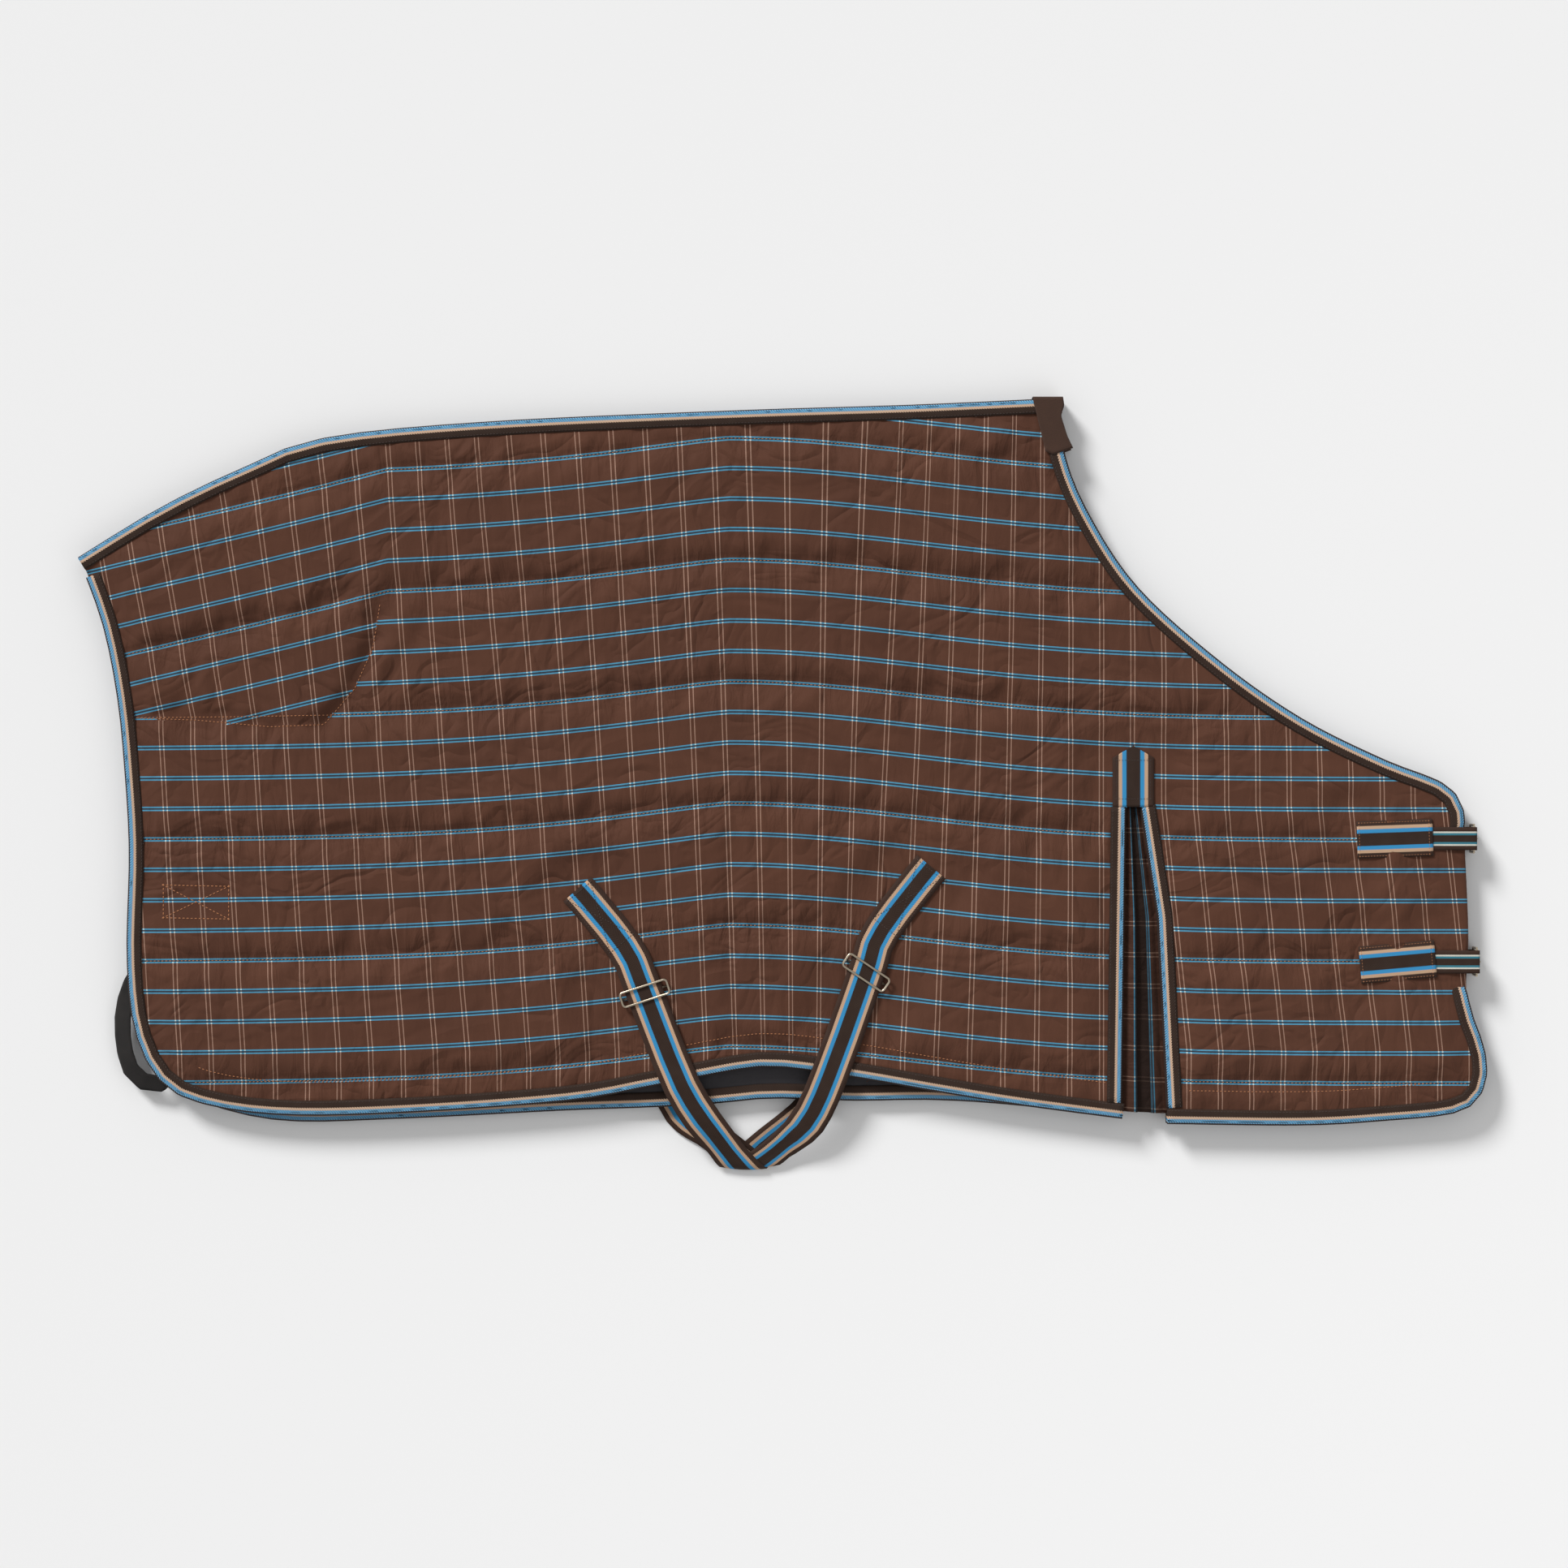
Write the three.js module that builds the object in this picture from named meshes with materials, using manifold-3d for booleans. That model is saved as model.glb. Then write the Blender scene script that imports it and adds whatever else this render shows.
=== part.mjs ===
// A quilted horse rug, folded in half along its spine and lying flat.
// +X points to the head, +Y to the spine, +Z up. Millimetres.
// The left half lies on the surface, the right half lies on it, outer face up.
import * as THREE from 'three';
import { mergeVertices } from 'three/addons/utils/BufferGeometryUtils.js';
import Module from 'manifold-3d';

const wasm = await Module();
wasm.setup();

// ---- driving dimensions ----
const rugLength = 1901; // chest to tail
const rugDrop = 982; // spine to hem
const gap = 0.3; // between pieces that touch

const shellPly = 0.8;
const fillingPly = 7.6;
const liningPly = 0.6;
const fillingInset = 5; // filling stops short of the edge seam

const tapePly = 1.0; // edge binding
const tapeReach = 21; // how far the binding covers each face

const underside = 7; // room for straps and hooks under the left half
const tailStrapWidth = 25;
const tailStrapPly = 1.5;

const surcingleWidth = 50;
const surcinglePly = 1.6;
const surcingleLift = 2.9; // the loose strap stands this far off the shell
const surcingleDroop = 59; // how far the straps hang past the hem

const sliderLength = surcingleWidth + 19;
const sliderWidth = 23;
const sliderBar = 3.5;
const sliderPly = 3;

const chestStrapWidth = 31;
const chestPly = 1.2;
const patchLength = 102;
const patchWidth = 50;
const patchPly = 1.4;

const buckleBar = 1.5; // radius of the buckle's wire
const buckleHeight = 24; // from bar to bar
const buckleWidth = 40;
const rollerRadius = 2.8;
const prongRadius = 1.2;

const slotPlateWidth = surcingleWidth + 6;
const platePly = 1.8;
const gussetPly = 1.3;
const gussetOverlap = 14; // how far the gusset reaches behind the slit's edges
const gussetLift = 9; // its hem stays this far above the rug's hem

// ---- levels, from the surface up ----
const stack = shellPly + fillingPly + liningPly + 2 * gap;
const leftShellZ = underside;
const leftLiningTop = leftShellZ + stack;
const leftBindingTop = leftLiningTop + gap + tapePly;
const leftBindingLow = leftShellZ - gap - tapePly;
const leftInnerPlyZ = leftBindingTop + gap;
const rightInnerPlyZ = leftInnerPlyZ + tailStrapPly + gap;
const rightBindingLow = rightInnerPlyZ + tailStrapPly + gap;
const rightLiningZ = rightBindingLow + tapePly + gap;
const rightShellTop = rightLiningZ + stack;
const rightBindingTop = rightShellTop + gap + tapePly;
const onRight = rightShellTop + gap; // what is sewn on the right shell starts here

// ---- materials ----
function finish(color, roughness, metalness = 0) {
  return new THREE.MeshStandardMaterial({ color, roughness, metalness });
}

const checkCloth = () => finish('#563a2d', 0.85);
const wadding = () => finish('#e6e2da', 0.95);
const liningCloth = () => finish('#33281f', 0.7);
const braid = () => finish('#6d93a8', 0.75);
const webbing = () => finish('#3a2a22', 0.8);
const blackWebbing = () => finish('#191817', 0.85);
const nickel = () => finish('#cfc4ae', 0.3, 1);

// ---- helpers ----
const object = new THREE.Group();

function piece(name, geometry, material) {
  const mesh = new THREE.Mesh(geometry, material);
  mesh.name = name;
  object.add(mesh);
  return mesh;
}

// Points are drawn for a rug 1901 long and 982 deep, and stretch with it.
const place = (x, y) => new THREE.Vector2((x * rugLength) / 1901, (y * rugDrop) / 982);
const placeAll = (points) => points.map(([x, y]) => place(x, y));
const smooth = (points, steps) => new THREE.SplineCurve(placeAll(points)).getSpacedPoints(steps);

function toSolid(geometry) {
  const bare = geometry.clone();
  bare.deleteAttribute('normal');
  bare.deleteAttribute('uv');
  const merged = mergeVertices(bare, 1e-4);
  return new wasm.Manifold(new wasm.Mesh({
    numProp: 3,
    vertProperties: new Float32Array(merged.attributes.position.array),
    triVerts: new Uint32Array(merged.index.array),
  }));
}

function toGeometry(solid) {
  const mesh = solid.getMesh();
  const geometry = new THREE.BufferGeometry();
  geometry.setAttribute('position', new THREE.BufferAttribute(new Float32Array(mesh.vertProperties), 3));
  geometry.setIndex(new THREE.BufferAttribute(new Uint32Array(mesh.triVerts), 1));
  return geometry;
}

const join = (...geometries) => toGeometry(geometries.map(toSolid).reduce((a, b) => a.add(b)));
const cut = (geometry, tool) => toGeometry(toSolid(geometry).subtract(toSolid(tool)));

function box(x0, x1, y0, y1, z0, z1) {
  const geometry = new THREE.BoxGeometry(x1 - x0, y1 - y0, z1 - z0);
  return geometry.translate((x0 + x1) / 2, (y0 + y1) / 2, (z0 + z1) / 2);
}

function slab(points, low, high, holes = []) {
  const shape = new THREE.Shape(points);
  shape.holes = holes.map((hole) => new THREE.Path(hole));
  const geometry = new THREE.ExtrudeGeometry(shape, { depth: high - low, bevelEnabled: false });
  return geometry.translate(0, 0, low);
}

// An outline drawn in the XZ plane, given a width along Y.
function upright(points, width, holes = []) {
  return slab(points, -width / 2, width / 2, holes).rotateX(Math.PI / 2);
}

function roundedRectangle(length, width, radius, steps = 5) {
  const points = [];
  const corners = [[1, 1, 0], [-1, 1, 90], [-1, -1, 180], [1, -1, 270]];
  for (const [sx, sy, start] of corners) {
    const cx = sx * (length / 2 - radius);
    const cy = sy * (width / 2 - radius);
    points.push(...arc(cx, cy, radius, start, start + 90, steps));
  }
  return points;
}

function arc(cx, cy, radius, from, to, steps) {
  const points = [];
  for (let i = 0; i <= steps; i += 1) {
    const angle = THREE.MathUtils.degToRad(from + ((to - from) * i) / steps);
    points.push(new THREE.Vector2(cx + radius * Math.cos(angle), cy + radius * Math.sin(angle)));
  }
  return points;
}

// At each point of a line, the direction to its left, long enough to keep a strip's width at a bend.
function leftward(points, closed = false) {
  const count = points.length;
  return points.map((point, i) => {
    const sides = [];
    for (const [a, b] of [[i - 1, i], [i, i + 1]]) {
      const inside = a >= 0 && b < count;
      if (!inside && !closed) continue;
      const along = points[(b + count) % count].clone().sub(points[(a + count) % count]);
      if (along.length() > 1e-6) sides.push(new THREE.Vector2(-along.y, along.x).normalize());
    }
    const middle = sides[0].clone().add(sides[sides.length - 1]).normalize();
    return middle.multiplyScalar(1 / Math.max(0.4, middle.dot(sides[0])));
  });
}

function offset(points, distance, closed = false) {
  const out = leftward(points, closed);
  return points.map((point, i) => point.clone().addScaledVector(out[i], distance));
}

// A closed solid through `count` sections: corner(i, j) is corner j of section i, `section` its flat shape.
function sweep(count, section, corner) {
  const size = section.length;
  const positions = [];
  for (let i = 0; i < count; i += 1) {
    for (let j = 0; j < size; j += 1) positions.push(...corner(i, j).toArray());
  }
  const index = [];
  for (let i = 0; i + 1 < count; i += 1) {
    for (let j = 0; j < size; j += 1) {
      const a = i * size + j;
      const b = i * size + ((j + 1) % size);
      index.push(a, b, b + size, a, b + size, a + size);
    }
  }
  const last = (count - 1) * size;
  for (const [a, b, c] of THREE.ShapeUtils.triangulateShape(section, [])) {
    index.push(c, b, a, last + a, last + b, last + c);
  }
  return facingOut(positions, index);
}

function facingOut(positions, index) {
  const corners = index.map((i) => new THREE.Vector3().fromArray(positions, i * 3));
  let volume = 0;
  for (let i = 0; i < corners.length; i += 3) {
    volume += corners[i].dot(corners[i + 1].clone().cross(corners[i + 2]));
  }
  if (volume < 0) index.reverse();
  const geometry = new THREE.BufferGeometry();
  geometry.setAttribute('position', new THREE.Float32BufferAttribute(positions, 3));
  geometry.setIndex(index);
  return geometry;
}

// ---- outline of a half: spine, rear edge and hem, slit, front hem, chest and neck ----
const spineEdge = smooth(
  [[16, 3], [-180, -6], [-429, -14], [-759, -29], [-979, -51], [-1089, -92], [-1199, -145], [-1309, -212]],
  26,
);
const rearEdgePoints = [
  [-1309, -212], [-1276, -302], [-1256, -401], [-1246, -500], [-1240, -610], [-1243, -753], [-1232, -852],
  [-1199, -918], [-1144, -949],
];
const rightHemPoints = [
  [-1034, -965], [-869, -962], [-649, -946], [-539, -927], [-451, -910], [-374, -900], [-264, -914],
  [-154, -933], [-44, -951], [99, -970],
];
const leftHemPoints = [
  [-1034, -974], [-869, -971], [-649, -960], [-539, -956], [-451, -951], [-374, -944], [-264, -947],
  [-154, -946], [-44, -953], [99, -970],
];
const slitRear = placeAll([[99, -970], [102, -760], [105, -549]]);
const slitFront = placeAll([[123, -549], [146, -698], [160, -977]]);
const frontEdge = smooth(
  [
    [160, -977], [341, -979], [451, -973], [550, -962], [585, -935], [592, -897], [583, -858],
    [567, -808], [570, -731], [568, -665], [562, -567], [553, -536], [528, -514], [451, -484],
    [341, -429], [231, -352],
    [121, -253], [55, -154], [22, -72], [16, 3],
  ],
  64,
);

const rearEdge = (hemPoints) => smooth([...rearEdgePoints, ...hemPoints], 62);

function halfOutline(hemPoints) {
  const stretches = [spineEdge, rearEdge(hemPoints), slitRear, slitFront, frontEdge];
  const points = stretches.flatMap((stretch) => stretch);
  return points.filter((point, i) => point.distanceTo(points[(i + 1) % points.length]) > 0.01);
}

const chestEdgeX = (y) => {
  const near = frontEdge.filter((point) => Math.abs(point.y - y) < 40);
  return Math.max(...near.map((point) => point.x));
};

// ---- panels and bindings ----
function panels(side, hemPoints, levels) {
  const outline = halfOutline(hemPoints);
  const sewn = offset(outline, tapePly + gap, true);
  const filled = offset(outline, tapePly + gap + fillingInset, true);
  const { shell, filling, lining } = levels;
  piece(`${side}_outer_shell`, slab(sewn, shell, shell + shellPly), checkCloth());
  piece(`${side}_filling`, slab(filled, filling, filling + fillingPly), wadding());
  piece(`${side}_lining`, slab(sewn, lining, lining + liningPly), liningCloth());
}

// Binding folded over an edge: a C-shaped section that opens to the left of the line.
function edging(points, low, high) {
  const out = leftward(points);
  const section = [
    [0, low], [tapeReach, low], [tapeReach, low + tapePly], [tapePly, low + tapePly],
    [tapePly, high - tapePly], [tapeReach, high - tapePly], [tapeReach, high], [0, high],
  ].map(([x, y]) => new THREE.Vector2(x, y));
  return sweep(points.length, section, (i, j) => {
    const at = points[i].clone().addScaledVector(out[i], section[j].x);
    return new THREE.Vector3(at.x, at.y, section[j].y);
  });
}

// Drops the first and the last stretch of a line, where another binding crosses it.
function trimmed(points, start, end) {
  const ends = [start, end];
  let line = points;
  for (const length of ends) {
    line = line.slice();
    let left = length;
    while (left > 0 && line.length > 2 && line[0].distanceTo(line[1]) <= left) {
      left -= line[0].distanceTo(line[1]);
      line.shift();
    }
    if (left > 0) line[0] = line[0].clone().lerp(line[1], left / line[0].distanceTo(line[1]));
    line.reverse();
  }
  return line;
}

// How far a slit binding stops short of the hem: past the hem's own binding, which rises with its slope.
function hemClearance(hem) {
  const [before, end] = hem.slice(-2);
  const slope = Math.abs((end.y - before.y) / (end.x - before.x));
  return Math.max(tapeReach + 3, tapeReach * (slope + Math.hypot(1, slope)) + gap);
}

function bindings(side, hemPoints, low, high) {
  const crossing = hemClearance(rearEdge(hemPoints));
  piece(`${side}_rear_binding`, edging(trimmed(rearEdge(hemPoints), crossing + 8, 0), low, high), braid());
  piece(`${side}_front_binding`, edging(trimmed(frontEdge, 0, crossing + 2), low, high), braid());
  piece(`${side}_slit_rear_binding`, edging(trimmed(slitRear, crossing, 0), low, high), braid());
  piece(`${side}_slit_front_binding`, edging(trimmed(slitFront, 0, crossing), low, high), braid());
}

panels('left', leftHemPoints, {
  shell: leftShellZ,
  filling: leftShellZ + shellPly + gap,
  lining: leftLiningTop - liningPly,
});
panels('right', rightHemPoints, {
  lining: rightLiningZ,
  filling: rightLiningZ + liningPly + gap,
  shell: rightShellTop - shellPly,
});
bindings('left', leftHemPoints, leftBindingLow, leftBindingTop);
bindings('right', rightHemPoints, rightBindingLow, rightBindingTop);
piece('spine_tape', edging(spineEdge, leftBindingLow, rightBindingTop), braid());

// ---- wither patch, folded over the spine at the neck ----
const patchPoints = placeAll([
  [-21, -2], [19, -2], [21, -8], [16.5, -22], [25, -49.5], [33, -66], [5.5, -75], [-4.4, -70], [-13, -35],
]);
const spineTopY = Math.max(...spineEdge.map((point) => point.y));
const patchBack = spineTopY + gap;
const patchFold = box(place(-21, 0).x, place(19, 0).x, patchBack, patchBack + 1,
  leftBindingLow - gap - 1, rightBindingTop + gap + 1);
const patchFace = [
  new THREE.Vector2(place(-21, 0).x, patchBack + 1), ...patchPoints.slice().reverse().slice(0, 7),
  new THREE.Vector2(place(19, 0).x, -2), new THREE.Vector2(place(19, 0).x, patchBack + 1),
];
piece('wither_patch', join(
  slab(patchFace.slice().reverse(), rightBindingTop + gap, rightBindingTop + gap + 1),
  slab(patchFace.slice().reverse(), leftBindingLow - gap - 1, leftBindingLow - gap),
  patchFold,
), finish('#3d2a20', 0.85));

// ---- gussets behind the slits and the tabs over their tops ----
function gusset(side, low, tabLow) {
  const back = offset(trimmed(slitRear, gussetLift, 0), gussetOverlap);
  const front = offset(trimmed(slitFront, 0, gussetLift + 4), gussetOverlap);
  const panel = [...back, ...front];
  piece(`${side}_gusset`, slab(panel, low, low + gussetPly), checkCloth());
  const middle = (slitRear[2].x + slitFront[0].x) / 2;
  const foot = slitRear[2].y + 6;
  const half = 28;
  const tab = [
    [-half, 0], [half, 0], [half, 60], [0, 76], [-half, 60],
  ].map(([x, y]) => new THREE.Vector2(middle + x, foot + y));
  piece(`${side}_gusset_tab`, slab(tab, tabLow, tabLow + gussetPly), webbing());
}

gusset('left', leftInnerPlyZ, leftShellZ - gap - gussetPly);
gusset('right', rightBindingLow - gap - gussetPly, onRight);

// ---- surcingles: sewn to the right half, crossing under, hooked to the left half ----
// A strap's side view is a line of (distance below the spine, height) points; its plan gives X along it.
function measured(profile) {
  const lengths = [0];
  for (let i = 1; i < profile.length; i += 1) {
    lengths.push(lengths[i - 1] + profile[i].distanceTo(profile[i - 1]));
  }
  return lengths;
}

function strap(profile, route, width, ply) {
  const lengths = measured(profile);
  const normals = leftward(profile);
  const plan = new THREE.SplineCurve(route).getPoints(route.length * 12);
  const xAt = (s) => {
    let i = 0;
    while (i < plan.length - 2 && plan[i + 1].y < s) i += 1;
    const slope = (plan[i + 1].x - plan[i].x) / (plan[i + 1].y - plan[i].y);
    return { x: plan[i].x + slope * (s - plan[i].y), slope };
  };
  const stations = [];
  const longest = 14;
  profile.forEach((point, i) => {
    const next = profile[i + 1];
    const parts = next ? Math.max(1, Math.ceil(point.distanceTo(next) / longest)) : 1;
    for (let k = 0; k < parts; k += 1) {
      const t = k / parts;
      const s = lengths[i] + t * (next ? lengths[i + 1] - lengths[i] : 0);
      const at = next ? point.clone().lerp(next, t) : point.clone();
      const normal = next ? normals[i].clone().lerp(normals[i + 1], t) : normals[i].clone();
      const { x, slope } = xAt(s);
      stations.push({ x, at, normal, reach: (width / 2) * Math.hypot(1, slope) });
    }
  });
  const section = [[-1, -1], [1, -1], [1, 1], [-1, 1]].map(([x, y]) => new THREE.Vector2(x, y));
  return sweep(stations.length, section, (i, j) => {
    const { x, at, normal, reach } = stations[i];
    const edge = at.clone().addScaledVector(normal, (section[j].y * ply) / 2);
    return new THREE.Vector3(x + section[j].x * reach, -edge.x, edge.y);
  });
}

const strapHalf = surcinglePly / 2;
const sewnZ = onRight + strapHalf;
const looseZ = sewnZ + surcingleLift;
const foldDepth = rugDrop + surcingleDroop;
const strapStep = surcinglePly + gap; // from one strap to the other where they cross
const outerFold = 2 * strapStep + 1.25;
const floorZ = strapHalf;
const foldZ = floorZ + outerFold;
const foldAt = foldDepth - outerFold - strapHalf;

// The drooping part of each strap: over the hem, down and round the fold, the inner strap inside the outer.
function droop(radius, step) {
  const hem = rugDrop * 0.943;
  return [
    new THREE.Vector2(hem, looseZ),
    new THREE.Vector2(foldAt - 62, looseZ - 8 + step),
    new THREE.Vector2(foldAt - 34, foldZ + radius + 12),
    ...arc(foldAt, foldZ, radius, 90, -90, 10),
  ];
}

function surcingle(name, options) {
  const { start, stitch, plan, anchor, aim, radius, step } = options;
  const top = [
    new THREE.Vector2(-start.y - 24, sewnZ), new THREE.Vector2(-stitch.y, sewnZ),
    new THREE.Vector2(-stitch.y + 30, looseZ),
  ];
  const hook = anchor.clone().addScaledVector(aim, hookBarAt + 14);
  const beforeHook = anchor.clone().addScaledVector(aim, hookBarAt + 70);
  const turn = droop(radius, step);
  const inner = foldZ - radius;
  const under = [new THREE.Vector2(-beforeHook.y + 60, inner)];
  if (inner > floorZ) under.push(new THREE.Vector2(-beforeHook.y + 30, floorZ));
  under.push(new THREE.Vector2(-hook.y, floorZ));
  const profile = [...top, ...turn, ...under];
  const lengths = measured(profile);
  const foldS = lengths[top.length + turn.length - 6];
  const topS = (y) => along(profile, lengths, -y, false);
  const underS = (y) => along(profile, lengths, -y, true);
  const route = [
    ...plan.top.map((p) => new THREE.Vector2(p.x, topS(p.y))),
    new THREE.Vector2(plan.foldX, foldS),
    ...[...plan.under, beforeHook, hook].map((p) => new THREE.Vector2(p.x, underS(p.y))),
  ];
  const ribbon = strap(profile, route, surcingleWidth, surcinglePly);
  const angle = Math.atan2(stitch.y - start.y, stitch.x - start.x);
  const waste = box(-60, 0, -60, 60, sewnZ - 5, sewnZ + 5).rotateZ(angle).translate(start.x, start.y, 0);
  const loop = hookLoop().rotateZ(Math.atan2(aim.y, aim.x)).translate(anchor.x, anchor.y, 0);
  piece(name, join(cut(ribbon, waste), loop), webbing());
}

// The length along a strap's side view where it passes a depth, going down or, under the rug, coming back.
function along(profile, lengths, depth, returning) {
  const order = returning ? -1 : 1;
  const spans = lengths.slice(1).map((_, i) => i);
  if (returning) spans.reverse();
  for (const i of spans) {
    const a = profile[i].x;
    const b = profile[i + 1].x;
    const rising = (b - a) * order > 0;
    if (rising && depth >= Math.min(a, b) && depth <= Math.max(a, b)) {
      return lengths[i] + ((depth - a) / (b - a)) * (lengths[i + 1] - lengths[i]);
    }
  }
  return returning ? lengths[lengths.length - 1] : 0;
}

// ---- hooked fastening under the left half, drawn with its webbing tab from x = 0 along +X ----
const plateLow = surcinglePly + gap;
const plateHigh = plateLow + platePly;
const upperPly = plateHigh + gap;
const tabBarAt = 75;
const barHalf = 2;
const slotStart = tabBarAt + barHalf + 11;
const slotLength = 30;
const slotWidth = 6;
const plateEnd = slotStart + slotLength + 7;
const neckWidth = 4.4;
const hookBarAt = plateEnd + 18;

// A ply of webbing that turns round a bar: outline and hole in the XZ plane.
function turnRoundBar(barX, direction) {
  const reach = direction * (barHalf + 0.5);
  const middle = (plateLow + plateHigh) / 2;
  const outer = middle;
  const innerRadius = outer - surcinglePly;
  const from = direction > 0 ? -90 : 270;
  const to = 90;
  return {
    outer: arc(barX + reach, middle, outer, from, to, 8),
    inner: arc(barX + reach, middle, innerRadius, from, to, 8),
    innerLow: middle - innerRadius,
    innerHigh: middle + innerRadius,
    high: middle + outer,
  };
}

function plateTab() {
  const turn = turnRoundBar(tabBarAt, 1);
  const sewnTop = leftShellZ - gap;
  const v = (x, z) => new THREE.Vector2(x, z);
  const outline = [
    v(0, sewnTop - 2 * surcinglePly), v(40, sewnTop - 2 * surcinglePly), v(62, 0), ...turn.outer,
    v(66, turn.high), v(48, sewnTop), v(0, sewnTop),
  ];
  const hole = [v(66, turn.innerLow), ...turn.inner, v(60, turn.innerHigh)];
  return upright(outline, surcingleWidth, [hole]);
}

function hookLoop() {
  const turn = turnRoundBar(hookBarAt, -1);
  const v = (x, z) => new THREE.Vector2(x, z);
  const end = hookBarAt + 40;
  const outline = [
    ...turn.outer, v(end, turn.high), v(end, turn.innerHigh), ...turn.inner.slice().reverse(),
    v(end - 10, turn.innerLow), v(end - 10, 0),
  ];
  return upright(dropRepeats(outline), surcingleWidth);
}

function dropRepeats(points) {
  return points.filter((point, i) => point.distanceTo(points[(i + 1) % points.length]) > 1e-3);
}

function rectangle(x0, x1, half) {
  return [[x0, -half], [x1, -half], [x1, half], [x0, half]].map(([x, y]) => new THREE.Vector2(x, y));
}

function slotPlate() {
  const length = plateEnd - (tabBarAt - barHalf);
  const middle = (plateEnd + tabBarAt - barHalf) / 2;
  const outline = roundedRectangle(length, slotPlateWidth, 5, 3).map((p) => p.setX(p.x + middle));
  const webbingWindow = rectangle(tabBarAt + barHalf, tabBarAt + barHalf + 5, surcingleWidth / 2 + 1);
  const slot = rectangle(slotStart, slotStart + slotLength, slotWidth / 2);
  return slab(outline, plateLow, plateHigh, [webbingWindow, slot]);
}

function hookPiece() {
  const backBar = hookBarAt + barHalf;
  const frameStart = plateEnd + 4;
  const length = backBar - frameStart;
  const middle = (backBar + frameStart) / 2;
  const outline = roundedRectangle(length, slotPlateWidth, 3, 3).map((p) => p.setX(p.x + middle));
  const opening = rectangle(frameStart + 5, hookBarAt - barHalf, surcingleWidth / 2 + 1);
  const frame = slab(outline, plateLow, plateHigh, [opening]);
  const neckAt = slotStart + slotLength - 5;
  const half = neckWidth / 2;
  const crossbar = box(neckAt, neckAt + 4, -13, 13, 0, surcinglePly);
  const post = box(neckAt, neckAt + 4, -half, half, 0.2, upperPly + platePly);
  const over = box(neckAt, frameStart + 3, -half, half, upperPly, upperPly + platePly);
  const down = box(frameStart + 0.5, frameStart + 3, -half, half, plateLow + 0.2, upperPly + platePly - 0.2);
  return join(frame, crossbar, post, over, down);
}

function hookStation(name, anchor, aim) {
  const pieces = [
    [`${name}_slot_tab`, plateTab(), webbing()],
    [`${name}_slot_plate`, slotPlate(), nickel()],
    [`${name}_t_hook`, hookPiece(), nickel()],
  ];
  for (const [label, geometry, material] of pieces) {
    const mesh = piece(label, geometry, material);
    mesh.position.set(anchor.x, anchor.y, 0);
    mesh.rotation.z = Math.atan2(aim.y, aim.x);
  }
}

const rearAnchor = place(-635, -660);
const frontAnchor = place(-158, -630);
const rearStitch = place(-572, -737);
const frontStitch = place(-224, -715);
const aimAt = (from, x, y) => place(x, y).sub(from).normalize();
const rearHookAim = aimAt(rearAnchor, -500, -964);
const frontHookAim = aimAt(frontAnchor, -311, -949);

surcingle('rear_surcingle', {
  start: rearAnchor,
  stitch: rearStitch,
  anchor: frontAnchor,
  aim: frontHookAim,
  radius: outerFold,
  step: strapStep,
  plan: {
    top: placeAll([[-655, -636], [-572, -737], [-544, -800], [-494, -925], [-446, -1000]]),
    foldX: place(-412, 0).x,
    under: placeAll([[-383, -1010], [-311, -949]]),
  },
});
surcingle('front_surcingle', {
  start: frontAnchor,
  stitch: frontStitch,
  anchor: rearAnchor,
  aim: rearHookAim,
  radius: outerFold - strapStep,
  step: 0,
  plan: {
    top: placeAll([[-139, -606], [-224, -715], [-245, -771], [-286, -886], [-320, -967], [-356, -1010]]),
    foldX: place(-402, 0).x,
    under: placeAll([[-440, -1008], [-492, -966]]),
  },
});
hookStation('rear', rearAnchor, rearHookAim);
hookStation('front', frontAnchor, frontHookAim);

// ---- sliders: a flat wire frame over the strap and a bar under it ----
function slider(name, at, angle) {
  const ring = slab(
    roundedRectangle(sliderWidth, sliderLength, 5, 4), 0, sliderPly,
    [roundedRectangle(sliderWidth - 2 * sliderBar, sliderLength - 2 * sliderBar, 2, 2).reverse()],
  );
  const ringLow = looseZ + strapHalf + gap;
  const barLow = onRight;
  const barHigh = looseZ - strapHalf - gap;
  const end = sliderLength / 2;
  const bar = box(-sliderBar / 2, sliderBar / 2, -end, end, barLow, barHigh);
  const posts = [-1, 1].map((side) => {
    const inner = side * (end - sliderBar);
    const outer = side * end;
    const [near, far] = [Math.min(inner, outer), Math.max(inner, outer)];
    return box(-sliderBar / 2, sliderBar / 2, near, far, barLow, ringLow + 1);
  });
  const mesh = piece(name, join(ring.translate(0, 0, ringLow), bar, ...posts), nickel());
  mesh.position.set(at.x, at.y, 0);
  mesh.rotation.z = THREE.MathUtils.degToRad(angle);
}

slider('rear_slider', place(-544, -800), -72);
slider('front_slider', place(-246, -772), -124);

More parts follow.
